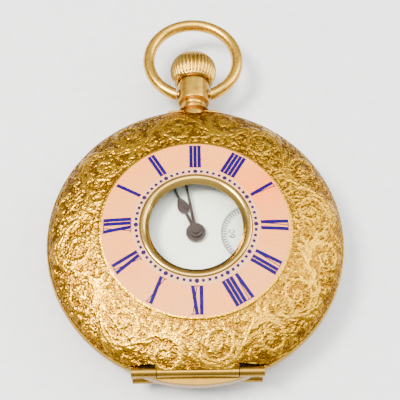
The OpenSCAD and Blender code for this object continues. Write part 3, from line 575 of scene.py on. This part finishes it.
def pink_enamel():
    n = Nodes("pink_enamel")
    n.set(Coat_Weight=0.3, Coat_Roughness=0.05, Coat_IOR=1.4, Specular_IOR_Level=0.1)
    angle, radius = n.polar()
    ripple = n.maths("MULTIPLY", n.maths("SINE", n.maths("MULTIPLY", radius, 5200)), 1.3)
    rays = n.maths("SINE", n.maths("ADD", n.maths("MULTIPLY", angle, 96), ripple))
    clouds = n.ramp(n.noise(7.0, 2), (0.42, 0.0), (0.66, 1.0))
    base = n.mix(clouds, (0.74, 0.255, 0.055), (0.80, 0.255, 0.045))
    towards = n.add("ShaderNodeVectorMath", operation="DISTANCE")
    n.link(n.place, towards.inputs[0])
    towards.inputs[1].default_value = (7.4 * MM, 4.6 * MM, 8.5 * MM)
    warm = n.ramp(n.maths("MULTIPLY", towards.outputs["Value"], 100), (0.12, 1.0), (0.42, 0.0))
    base = n.mix(warm, base, (0.90, 0.19, 0.015))
    pale = n.mix(n.ramp(n.noise(4.0, 2, 0.5, n.stretched(1, 1, 1, 0.9)), (0.45, 0.0), (0.75, 0.5)),
                 base, (0.70, 0.29, 0.085))
    band = n.ramp(n.maths("MULTIPLY", radius, 100), (0.712, (1, 1, 1)), (0.724, (0, 0, 0)))
    pale = n.mix(n.maths("MULTIPLY", band, 0.75), pale, (0.56, 0.34, 0.17))
    fine = n.ramp(n.maths("MULTIPLY_ADD", rays, 0.5), (0.0, 0.93), (1.0, 1.0))
    n.colour(n.mix(1.0, pale, fine, "MULTIPLY"))
    n.rough(n.ramp(rays, (0.0, 0.30), (1.0, 0.42)))
    n.normal(n.bump(rays, 0.10, 0.01))
    return n.material


def coloured_enamel(name, colour, light, rough=0.16):
    n = Nodes(name)
    n.set(Specular_IOR_Level=0.05)
    n.colour(n.mix(n.ramp(n.noise(0.5, 4), (0.35, 0.0), (0.7, 1.0)), colour, light))
    n.rough(n.ramp(n.noise(0.3, 4), (0.3, rough), (0.7, rough + 0.12)))
    n.normal(n.bump(n.noise(0.4, 3), 0.08, 0.01))
    return n.material


def dial_enamel(name, colour, rings=0.0):
    n = Nodes(name)
    n.set(Coat_Weight=0.3, Coat_Roughness=0.06)
    cloud = n.ramp(n.noise(5.0, 5), (0.3, 0.95), (0.7, 1.0))
    shade = n.mix(1.0, colour, cloud, "MULTIPLY")
    n.rough(n.ramp(n.noise(0.8, 4), (0.3, 0.22), (0.7, 0.34)))
    if rings:
        _, radius = n.polar(joint_at("seconds_turn")[:2])
        band = n.ramp(n.maths("MULTIPLY", radius, 200), (0.575, (1, 1, 1)), (0.6, (0.72, 0.74, 0.76)))
        shade = n.mix(1.0, shade, band, "MULTIPLY")
        n.normal(n.bump(n.maths("SINE", n.maths("MULTIPLY", radius, 42000)), rings, 0.004))
    else:
        n.normal(n.bump(n.noise(1.2, 3), 0.05, 0.01))
    n.colour(shade)
    return n.material


def metal(name, colour, low, high, stripes=None, sheen_turn=0.0):
    """A worked metal: fine grain, and Geneva stripes where asked, of that width in millimetres."""
    n = Nodes(name)
    n.set(Metallic=1.0)
    darker = tuple(c * 0.8 for c in colour)
    n.colour(n.mix(n.ramp(n.noise(1.2, 5), (0.35, 0.0), (0.65, 1.0)), darker, colour))
    n.rough(n.ramp(n.noise(0.4, 5), (0.3, low), (0.7, high)))
    grain = n.bump(n.noise(0.06, 3, 0.6, n.stretched(0.15, 1.0, 1.0, sheen_turn)), 0.25, 0.006)
    if stripes:
        wave = n.add("ShaderNodeTexWave", wave_profile="SAW")
        n.link(n.stretched(1, 1, 1, sheen_turn), wave.inputs["Vector"])
        wave.inputs["Scale"].default_value = 0.314 / (stripes * MM)
        wave.inputs["Distortion"].default_value = 0.0
        grain = n.bump(wave.outputs["Fac"], 0.5, 0.05, grain)
    n.normal(grain)
    return n.material


def ruby():
    n = Nodes("ruby")
    n.set(IOR=1.76, Coat_Weight=0.5)
    clouds = n.ramp(n.noise(0.3, 4), (0.35, 0.0), (0.7, 1.0))
    n.colour(n.mix(clouds, (0.35, 0.004, 0.03), (0.68, 0.02, 0.09)))
    n.rough(n.ramp(n.noise(0.3, 3), (0.3, 0.05), (0.7, 0.14)))
    return n.material


def clear_glass(name, tint):
    """Thin glass: what is behind it shows straight through, and it reflects at its angle's share."""
    n = Nodes(name)
    tree, shader = n.tree, n.shader
    tree.nodes.remove(shader)
    through = n.add("ShaderNodeBsdfTransparent")
    through.inputs["Color"].default_value = (*tint, 1)
    gloss = n.add("ShaderNodeBsdfGlossy")
    gloss.inputs["Roughness"].default_value = 0.02
    waves = n.add("ShaderNodeBump")
    waves.inputs["Strength"].default_value = 0.02
    waves.inputs["Distance"].default_value = 0.02 * MM
    n.link(n.noise(3.0, 2), waves.inputs["Height"])
    n.link(waves.outputs["Normal"], gloss.inputs["Normal"])
    share = n.add("ShaderNodeFresnel")
    share.inputs["IOR"].default_value = 1.22
    mix = n.add("ShaderNodeMixShader")
    n.link(share.outputs["Fac"], mix.inputs[0])
    n.link(through.outputs[0], mix.inputs[1])
    n.link(gloss.outputs[0], mix.inputs[2])
    n.link(mix.outputs[0], tree.nodes["Material Output"].inputs["Surface"])
    return n.material


ENGRAVED = engraved_gold()
# Painted shade: this gold, for the case band, pins, bezel and sleeve, is much darker than the other golds.
# It paints in dark reflections of dark surroundings where the pale floor is reflected.
DARKENED_CASE_GOLD = polished_gold("yellow_gold", (0.26, 0.145, 0.018), 0.2, 0.36)
HINGE = polished_gold("hinge_gold", (0.34, 0.19, 0.022), 0.1, 0.22)
RING = polished_gold("ring_gold", (0.50, 0.31, 0.07), 0.12, 0.24)
CROWN = polished_gold("crown_gold", (0.52, 0.31, 0.045), 0.14, 0.28)
ROSE = polished_gold("warm_gold", (0.60, 0.33, 0.036), 0.24, 0.38)
CHASED = polished_gold("chased_gold", (0.60, 0.33, 0.035), 0.2, 0.36, 0.22)
SATIN = satin_gold()
PINK = pink_enamel()
BLUE = coloured_enamel("blue_enamel", (0.006, 0.0008, 0.052), (0.010, 0.0015, 0.10))
VIOLET = coloured_enamel("violet_enamel", (0.016, 0.004, 0.035), (0.026, 0.008, 0.06))
PRINT = coloured_enamel("dial_print", (0.012, 0.012, 0.014), (0.03, 0.03, 0.035), 0.3)
GREY_PRINT = coloured_enamel("seconds_print", (0.16, 0.17, 0.17), (0.22, 0.23, 0.22), 0.3)
WHITE = dial_enamel("white_enamel", (0.90, 0.93, 0.76))
GREY = dial_enamel("seconds_enamel", (0.84, 0.88, 0.74), 0.12)
HAND = metal("hand_steel", (0.060, 0.043, 0.036), 0.28, 0.45)
STEEL = metal("polished_steel", (0.36, 0.37, 0.39), 0.12, 0.28)
BLUED = metal("blued_steel", (0.02, 0.04, 0.24), 0.16, 0.3)
GILT = metal("gilt_brass", (0.55, 0.33, 0.08), 0.18, 0.34, sheen_turn=0.5)
NICKEL = metal("striped_nickel", (0.42, 0.41, 0.37), 0.2, 0.36, stripes=1.1, sheen_turn=0.6)
RUBY = ruby()
CRYSTAL = clear_glass("crystal_glass", (0.995, 0.995, 0.995))
LENS = clear_glass("lid_glass", (0.995, 0.995, 0.995))


# ---- pieces of the case ----

def lid_pattern(chart, length):
    running_scroll(chart, 0.42, length - 0.25, 8, 0.3)
    inner = chart.s < 0.26
    groove = (chart.s >= 0.26) & (chart.s < 0.36)
    chart.height[groove] = 0.0
    return inner | (chart.s > length - 0.16)


def front_lid():
    """The engraved cover, with the seats of the window ring and the enamel, and its knuckle."""
    turn, r_end, outer, relief = engraved_shell(lid_out, chapter_r, 84, 900, 0.12, lid_pattern, 1,
                                                -lid_hinge[1])
    rim_z = equator_z + RIM_BELOW_EQUATOR
    chord = r_end < case_r - ENGRAVED_INSET - 0.001
    low = np.where(chord, lid_in(np.minimum(r_end, case_r - LID_WALL)), rim_z)
    notch_side = chord & (np.sin(turn) > 0)
    low = np.where(notch_side, np.minimum(lid_out(r_end) - 0.02, np.maximum(rim_z, low)), low)
    inner_end = np.minimum(case_r - LID_WALL, r_end)
    seat_r = ring_r - RING_SEAT_WIDTH
    rows = [ring_row(turn, np.where(chord, r_end, case_r - RIM_INSET), np.maximum(low, rim_z))]
    rows.append(ring_row(turn, np.where(chord, r_end - 0.01, case_r - RIM_WALL), low))
    for share in np.linspace(0, 1, 10):
        r = inner_end + (seat_r - inner_end) * share
        rows.append(ring_row(turn, r, np.maximum(lid_in(r), rim_z) if share < 0.1 else lid_in(r)))
    rows.append(ring_row(turn, seat_r, seat_z))
    rows.append(ring_row(turn, ring_r, seat_z))
    for r in np.linspace(ring_r, chapter_r, 6):
        rows.append(ring_row(turn, r, lid_out(r) - ENAMEL_T))
    points = np.concatenate([outer, np.array(rows)])
    count = len(points)
    start = len(outer)
    material = np.full((count, len(turn)), INSIDE)
    material[:start - 1] = OUTSIDE
    material[start - 1:start + 1] = EDGE
    whole = np.concatenate([relief, np.ones((count - start, len(turn)))])
    creases = (0, start - 1, start, start + 1, start + 12, start + 13, count - 1)
    shell = grid(points, True, creases, material=material.ravel(), relief=whole)
    y, z = lid_hinge[1], lid_hinge[2]
    knuckle = rod(HINGE_R, (-KNUCKLE_HALF, y, z), (KNUCKLE_HALF, y, z), material=EDGE)
    make("front_lid_engraved", [shell, knuckle], [ENGRAVED, SATIN, HINGE], "lid", "gold_engraved",
         "front_lid")


def plate(low, high, material=0):
    """A straight-sided bar from corner to corner."""
    x, y, z = zip(low, high)
    corners = [(x[i], y[j], z[k]) for k in (0, 1) for j in (0, 1) for i in (0, 1)]
    faces = [[0, 2, 3, 1], [4, 5, 7, 6], [0, 1, 5, 4], [2, 6, 7, 3], [0, 4, 6, 2], [1, 3, 7, 5]]
    sharp = [(0, 1), (2, 3), (4, 5), (6, 7), (0, 2), (1, 3), (4, 6), (5, 7), (0, 4), (1, 5), (2, 6), (3, 7)]
    return Part(corners, faces, sharp, material)


def back_pattern(chart, length):
    ring = REST_R * 0.52
    running_scroll(chart, ring + 0.5, length * 0.6, 7, 0.0)
    running_scroll(chart, length * 0.6 + 0.35, length - 0.25, 11, 0.8)
    band = np.abs(chart.s - length * 0.6 - 0.17) < 0.1
    return (chart.s < ring) | band | (chart.s > length - 0.16)


def back_cover():
    """The engraved back, closed at its middle by a plain hub, and its knuckle."""
    hub = 0.4
    turn, r_end, outer, relief = engraved_shell(back_out, hub, 118, 760, 0.1, back_pattern, -1, CHORD_Y)
    rim_z = equator_z - RIM_BELOW_EQUATOR
    chord = r_end < case_r - ENGRAVED_INSET - 0.001
    high = np.where(chord, back_in(np.minimum(r_end, case_r - BACK_WALL)), rim_z)
    high = np.minimum(high, rim_z)
    rows = [ring_row(turn, np.where(chord, r_end, case_r - RIM_INSET), high)]
    rows.append(ring_row(turn, np.where(chord, r_end - 0.01, case_r - RIM_WALL), high))
    inner_end = np.minimum(case_r - BACK_WALL, r_end)
    for share in np.linspace(0, 1, 12):
        r = inner_end + (hub - inner_end) * share
        rows.append(ring_row(turn, r, back_in(r)))
    points = np.concatenate([outer, np.array(rows)])
    start, count = len(outer), len(outer) + len(rows)
    material = np.full((count - 1, len(turn)), INSIDE)
    material[:start - 1] = OUTSIDE
    material[start - 1:start + 1] = EDGE
    material = np.concatenate([material.ravel(), [OUTSIDE, INSIDE]])
    whole = np.concatenate([relief, np.ones((count - start, len(turn)))])
    creases = (start - 1, start, start + 1)
    shell = grid(points, False, creases, ("first", "last"), material, whole)
    y, z = back_hinge[1], back_hinge[2]
    knuckle = rod(HINGE_R, (-KNUCKLE_HALF, y, z), (KNUCKLE_HALF, y, z), material=EDGE)
    web = plate([-KNUCKLE_HALF, y + 0.1, back_in(CHORD_Y) + 0.02], [KNUCKLE_HALF, -CHORD_Y - 0.1, z],
                material=EDGE)
    make("back_cover_engraved", [shell, knuckle, web], [ENGRAVED, SATIN, HINGE], "back", "gold_engraved",
         "back_cover")


def window_ring():
    low, high = span("window_ring")
    opening = span("lid_glass")[1][0] - LENS_SEAT_WIDTH
    crest = high[2] - seat_z
    knots_r = [0, -0.05, -0.15, -0.3, -0.48, -0.7, opening - ring_r]
    knots_z = [0, 0.53 * crest, 0.83 * crest, crest, 0.93 * crest, 0.53 * crest, -0.67 * crest]
    along = np.linspace(0, 6, 31)
    face = smooth_curve(np.array([knots_r, knots_z]).T, along) + [ring_r, seat_z]
    seat_r = ring_r - RING_SEAT_WIDTH
    profile = [(opening + 0.25, low[2]), (seat_r, low[2]), (seat_r, seat_z)]
    profile += [tuple(point) for point in face]
    profile += [(opening, face[-1][1] - 0.04), (opening + 0.25, face[-1][1] - 0.04)]
    count = len(profile)
    ring = lathe(profile, 320, creases=(0, 1, 2, 3, count - 3, count - 2, count - 1), loop_rows=True)
    make("window_ring_polished", [ring], [RING], "lid", "gold_polished", "window_ring")


def smooth_curve(knots, along):
    """Points of a curve that passes through every knot, at positions counted in knots."""
    points = []
    last = len(knots) - 1
    for t in along:
        i = min(int(t), last - 1)
        f = t - i
        p0, p1, p2, p3 = (knots[min(max(k, 0), last)] for k in (i - 1, i, i + 1, i + 2))
        points.append(0.5 * (2 * p1 + (p2 - p0) * f + (2 * p0 - 5 * p1 + 4 * p2 - p3) * f ** 2
                             + (3 * p1 - p0 - 3 * p2 + p3) * f ** 3))
    return np.array(points)


def chapter_ring():
    r = np.linspace(ring_r, chapter_r, 28)
    top = [(a, lid_out(a)) for a in r]
    under = [(a, lid_out(a) - ENAMEL_T) for a in r[::-1]]
    ring = lathe(top + under, 360, creases=(0, len(r) - 1, len(r), 2 * len(r) - 1), loop_rows=True)
    make("chapter_ring_enamel", [ring], [PINK], "lid", "enamel_pink", "chapter_ring")


def lid_glass():
    low, high = span("lid_glass")
    outer = high[0]
    face = outer - LENS_SEAT_WIDTH - 0.3
    flat = high[2] - LENS_RISE
    top = [(r, flat + LENS_RISE * (1 - (r / face) ** 2)) for r in np.linspace(0.05, face, 20)]
    profile = top + [(outer, flat), (outer, low[2]), (0.05, low[2])]
    count = len(profile)
    lens = lathe(profile, 200, creases=(count - 3, count - 2), caps=("first", "last"))
    make("lid_glass_lens", [lens], [LENS], "lid", "glass", "lid_glass")


def crystal():
    low, high = span("crystal")
    edge = high[0]

    def dome_z(r):
        return high[2] - CRYSTAL_RISE + dome(r, 13.4, CRYSTAL_RISE, LID_POWER)

    top = [(r, dome_z(r)) for r in np.linspace(0.05, edge - 0.15, 30)]
    side = [(edge, low[2] + 0.27), (edge, low[2]), (edge - 0.45, low[2])]
    under = [(r, dome_z(r) - 0.28) for r in np.linspace(edge - 0.55, 0.05, 30)]
    profile = top + side + under
    last = len(top) - 1
    lens = lathe(profile, 240, creases=range(last, last + 5), caps=("first", "last"))
    make("crystal_dome", [lens], [CRYSTAL], "case", "glass", "crystal")


# ---- pendant, bow and crown ----

def pendant():
    low, high = span("pendant")
    barrel, base, end = 2.0, case_r + 0.05, high[1]
    pivot = joint_at("bow_swivel")[1]
    profile = [(1.02, low[1]), (1.5, low[1]), (1.5, base), (2.05, base)]
    profile += [(1.36 + 0.62 * (1 - math.sin(a)), base + 0.37 - 0.3 * math.cos(a))
                for a in np.linspace(0, math.pi / 2, 8)]
    profile += [(1.3, base + 0.5), (1.36, base + 0.56)]
    profile += [(1.32 + 0.1 * math.cos(a), base + 0.66 + 0.1 * math.sin(a))
                for a in np.linspace(-1.1, 1.1, 7)]
    profile += [(1.33, base + 0.85), (1.33, base + 1.26), (1.38, base + 1.34), (1.55, base + 1.41)]
    profile += [(barrel - 0.14 + 0.14 * math.sin(a), base + 1.6 - 0.14 * math.cos(a))
                for a in np.linspace(0, math.pi / 2, 7)]
    profile += [(barrel, base + 2.2), (barrel, base + 4.05)]
    profile += [(barrel - 0.35 + 0.35 * math.cos(a), end - 0.5 + 0.5 * math.sin(a))
                for a in np.linspace(0, math.pi / 2, 8)]
    profile += [(1.02, end)]
    turned = lathe(profile, 128, "Y", (0, 0, stem_z), (0, 1, 2, 3, len(profile) - 1), True)
    parts = [turned]
    for side in (-1, 1):
        boss = [(0.62, 1.7)] + [(0.4 + 0.22 * math.cos(a), 1.96 + 0.12 * math.sin(a))
                                for a in np.linspace(0, math.pi / 2, 6)] + [(0.37, 2.08), (0.37, 1.7)]
        parts.append(lathe([(r, side * h) for r, h in boss], 48, "X", (0, pivot, stem_z), (0,), True))
    parts.append(foot(span("pendant")[1][0]))
    make("pendant_turned", parts, [ROSE], "case", "gold_polished", "pendant")


def foot(half):
    """The low rounded step on the band that the pendant stands on."""
    x = half * np.sin(np.linspace(-math.pi / 2, math.pi / 2, 61))
    end = np.sqrt(np.maximum(0, 1 - (np.abs(x) / half) ** 12))
    inner_y = np.sqrt((case_r + 0.02) ** 2 - x ** 2)
    outer_y = inner_y + (case_r + 0.17 - inner_y) * end
    rows = []
    for y, z in ((inner_y, -0.45), (outer_y - 0.08 * end, -0.45), (outer_y, -0.35), (outer_y, 0.35),
                 (outer_y - 0.08 * end, 0.45), (inner_y, 0.45)):
        rows.append(np.stack([x, y, np.full(len(x), equator_z + z)], axis=-1))
    points = np.array(rows).transpose(1, 0, 2)
    return grid(points, caps=("first", "last"))


def bow():
    low, high = span("bow")
    wire = (high[2] - low[2]) / 2
    ring = high[0] - wire
    centre = high[1] - ring - wire
    pivot = joint_at("bow_swivel")[1]
    end_x = math.sqrt(ring ** 2 - (centre - pivot) ** 2)
    turn = np.arange(40) * TAU / 40
    around = ring + wire * np.cos(turn)
    rows = []
    for t in np.linspace(0, 1, 170):
        first = -np.arccos(np.clip(end_x / around, -1, 1))
        angle = first + (math.pi - 2 * first) * t
        rows.append(np.stack([around * np.cos(angle), centre + around * np.sin(angle),
                              stem_z + wire * np.sin(turn)], axis=-1))
    loop = np.array(rows)
    crumple = 0.012 * rng.uniform(-1, 1, loop.shape[:2])[..., None]
    middle = loop.mean(axis=1, keepdims=True)
    inside = slice(4, -4)
    loop[inside] += ((middle - loop) * np.abs(crumple))[inside] * 1.5
    parts = [grid(loop, caps=("first", "last"), creases=(0, len(loop) - 1))]
    for side in (-1, 1):
        ends = sorted((side * (end_x - 0.7), side * (end_x + 0.4)))
        parts.append(rod(0.36, (ends[0], pivot, stem_z), (ends[1], pivot, stem_z), 24))
    make("bow_ring", parts, [CHASED], "bow", "gold_polished", "bow")


def crown():
    low, high = span("crown")
    wide, start = high[0], low[1]
    flutes, belly = 36, 1.9
    top = high[1] - low[1] - belly
    skirt = smooth_curve(np.array([(wide - 0.64, 0), (wide - 0.54, 0.1), (wide - 0.34, 0.5),
                                   (wide - 0.15, 1.05), (wide - 0.03, 1.5), (wide, belly)]),
                         np.linspace(0, 5, 26))
    cap = [(wide * math.cos(a), belly + top * math.sin(a))
           for a in np.linspace(0.06, math.pi / 2 - 0.02, 30)]
    radius, along = np.concatenate([skirt, cap]).T
    fade = np.clip((radius / wide - 0.36) / 0.3, 0, 1) * np.clip((along - 0.12) / 0.35, 0, 1)
    turn = np.arange(flutes * 10) * TAU / (flutes * 10)
    groove = 1 - np.abs(np.sin(turn * flutes / 2)) ** 0.75
    depth = np.minimum(0.3, np.maximum(0, radius - wide + 0.6) + np.where(along > belly, 0.3, 0)) * fade
    r = radius[:, None] - depth[:, None] * groove

    def ring(r, y):
        r, y = np.broadcast_to(r, turn.shape), np.broadcast_to(y, turn.shape)
        return np.stack([r * np.sin(turn), start + y, stem_z + r * np.cos(turn)], axis=-1)

    bore = ((0.42, 4.0), (0.42, 1.6), (1.5, 1.6), (1.5, 0.95), (2.08, 0.95), (2.08, 0))
    under = [ring(*step) for step in bore]
    outside = [ring(row, y) for row, y in zip(r, along)]
    shell = grid(np.array(under + outside), creases=(0, 1, 2, 3, 4, 5, 6), caps=("first", "last"))
    make("crown_fluted", [shell], [CROWN], "crown", "gold_polished", "crown")


# ---- CAD nodes that stay, with their materials ----

KEPT = {
    DARKENED_CASE_GOLD: ["case_middle", "front_hinge_pin", "back_hinge_pin", "cuvette_hinge_pin", "bezel",
             "push_sleeve"],
    SATIN: ["cuvette"],
    BLUE: ["chapter_numerals"],
    VIOLET: ["chapter_track"],
    WHITE: ["dial"],
    GREY: ["seconds_dial"],
    PRINT: ["dial_numerals", "dial_track"],
    GREY_PRINT: ["seconds_track"],
    HAND: ["hour_hand", "minute_hand", "seconds_hand", "cannon_pinion"],
    STEEL: ["stem", "barrel_arbor", "ratchet_wheel", "crown_wheel", "click", "pallet_fork",
            "balance_staff", "winding_pinion", "clutch_wheel", "setting_lever"],
    BLUED: ["lift_spring", "lock_spring", "case_screws", "movement_screws", "mainspring", "click_spring",
            "hairspring"],
    GILT: ["minute_wheel", "hour_wheel", "mainspring_barrel", "centre_wheel", "third_wheel", "fourth_wheel",
           "escape_wheel", "balance_wheel"],
    NICKEL: ["main_plate", "barrel_bridge", "train_bridge", "balance_cock", "pallet_cock"],
    RUBY: ["jewels"],
}


def finish_kept_nodes():
    for material, names in KEPT.items():
        for name in names:
            obj = frame["nodes"][name]
            if not obj.material_slots:
                obj.data.materials.append(material)
            for slot in obj.material_slots:
                slot.material = material


# ---- stage ----

def floor():
    size, cells = 1200, 24
    edge = np.linspace(-size, size, cells + 1)
    points = [(x, y, 0) for y in edge for x in edge]
    faces = [[j * (cells + 1) + i, j * (cells + 1) + i + 1, (j + 1) * (cells + 1) + i + 1,
              (j + 1) * (cells + 1) + i] for j in range(cells) for i in range(cells)]
    mesh = bpy.data.meshes.new("floor")
    mesh.from_pydata((np.array(points) * MM).tolist(), [], faces)
    n = Nodes("pale_floor")
    n.colour(n.ramp(n.noise(1.5, 6), (0.3, (0.60, 0.60, 0.60)), (0.7, (0.66, 0.66, 0.66))))
    n.rough(n.ramp(n.noise(2.0, 4), (0.3, 0.55), (0.7, 0.7)))
    n.normal(n.bump(n.noise(0.5, 4), 0.15, 0.05))
    mesh.materials.append(n.material)
    obj = bpy.data.objects.new("floor", mesh)
    bpy.context.scene.collection.objects.link(obj)


def light(name, direction, distance, size, power, colour=(1, 1, 1)):
    """A soft square lamp that looks at the watch from a direction."""
    lamp = bpy.data.lights.new(name, "AREA")
    lamp.shape, lamp.size, lamp.energy, lamp.color = "SQUARE", size * MM, power, colour
    obj = bpy.data.objects.new(name, lamp)
    towards = Vector(direction).normalized()
    obj.location = towards * distance * MM
    obj.rotation_euler = towards.to_track_quat("Z", "Y").to_euler()
    bpy.context.scene.collection.objects.link(obj)


def studio():
    light("key", (-0.47, -0.02, 0.88), 420, 130, 5.0, (1.0, 0.97, 0.92))
    light("top", (0.1, 0.0, 0.99), 520, 360, 3.0, (1.0, 1.0, 1.0))
    light("fill", (0.75, 0.25, 0.62), 500, 300, 2.6, (0.96, 0.98, 1.0))
    world = bpy.data.worlds.new("studio")
    world.use_nodes = True
    tree = world.node_tree
    where = tree.nodes.new("ShaderNodeTexCoord").outputs["Generated"]
    split = tree.nodes.new("ShaderNodeSeparateXYZ")
    ramp = tree.nodes.new("ShaderNodeValToRGB")
    tree.links.new(where, split.inputs[0])
    tree.links.new(split.outputs["Z"], ramp.inputs["Fac"])
    ramp.color_ramp.elements[0].position, ramp.color_ramp.elements[0].color = 0.05, (0.10, 0.095, 0.09, 1)
    ramp.color_ramp.elements[1].position, ramp.color_ramp.elements[1].color = 0.85, (0.80, 0.81, 0.82, 1)
    tree.links.new(ramp.outputs["Color"], tree.nodes["Background"].inputs["Color"])
    tree.nodes["Background"].inputs["Strength"].default_value = 1.9
    bpy.context.scene.world = world


def camera():
    """The viewing angle of the picture: from the hinge side, well above, turned a little."""
    azimuth, elevation, roll = (math.radians(a) for a in (-2.53, 63.35, 1.79))
    distance, aim, focal = 90.0, Vector((0.49, 3.01, 8.9)), 71.09
    back = Vector((math.sin(azimuth) * math.cos(elevation), -math.cos(azimuth) * math.cos(elevation),
                   math.sin(elevation)))
    level = Vector((0, 0, 1)).cross(back).normalized()
    rise = back.cross(level)
    right = math.cos(roll) * level + math.sin(roll) * rise
    up = -math.sin(roll) * level + math.cos(roll) * rise
    data = bpy.data.cameras.new("camera")
    data.sensor_width, data.lens = 36.0, focal
    data.clip_start, data.clip_end = 0.005, 10.0
    obj = bpy.data.objects.new("camera", data)
    place = Matrix((right, up, back)).transposed().to_4x4()
    place.translation = (aim + back * distance) * MM
    obj.matrix_world = place
    bpy.context.scene.collection.objects.link(obj)
    bpy.context.scene.camera = obj


camera()
studio()
floor()
front_lid()
back_cover()
window_ring()
chapter_ring()
lid_glass()
crystal()
pendant()
bow()
crown()
finish_kept_nodes()
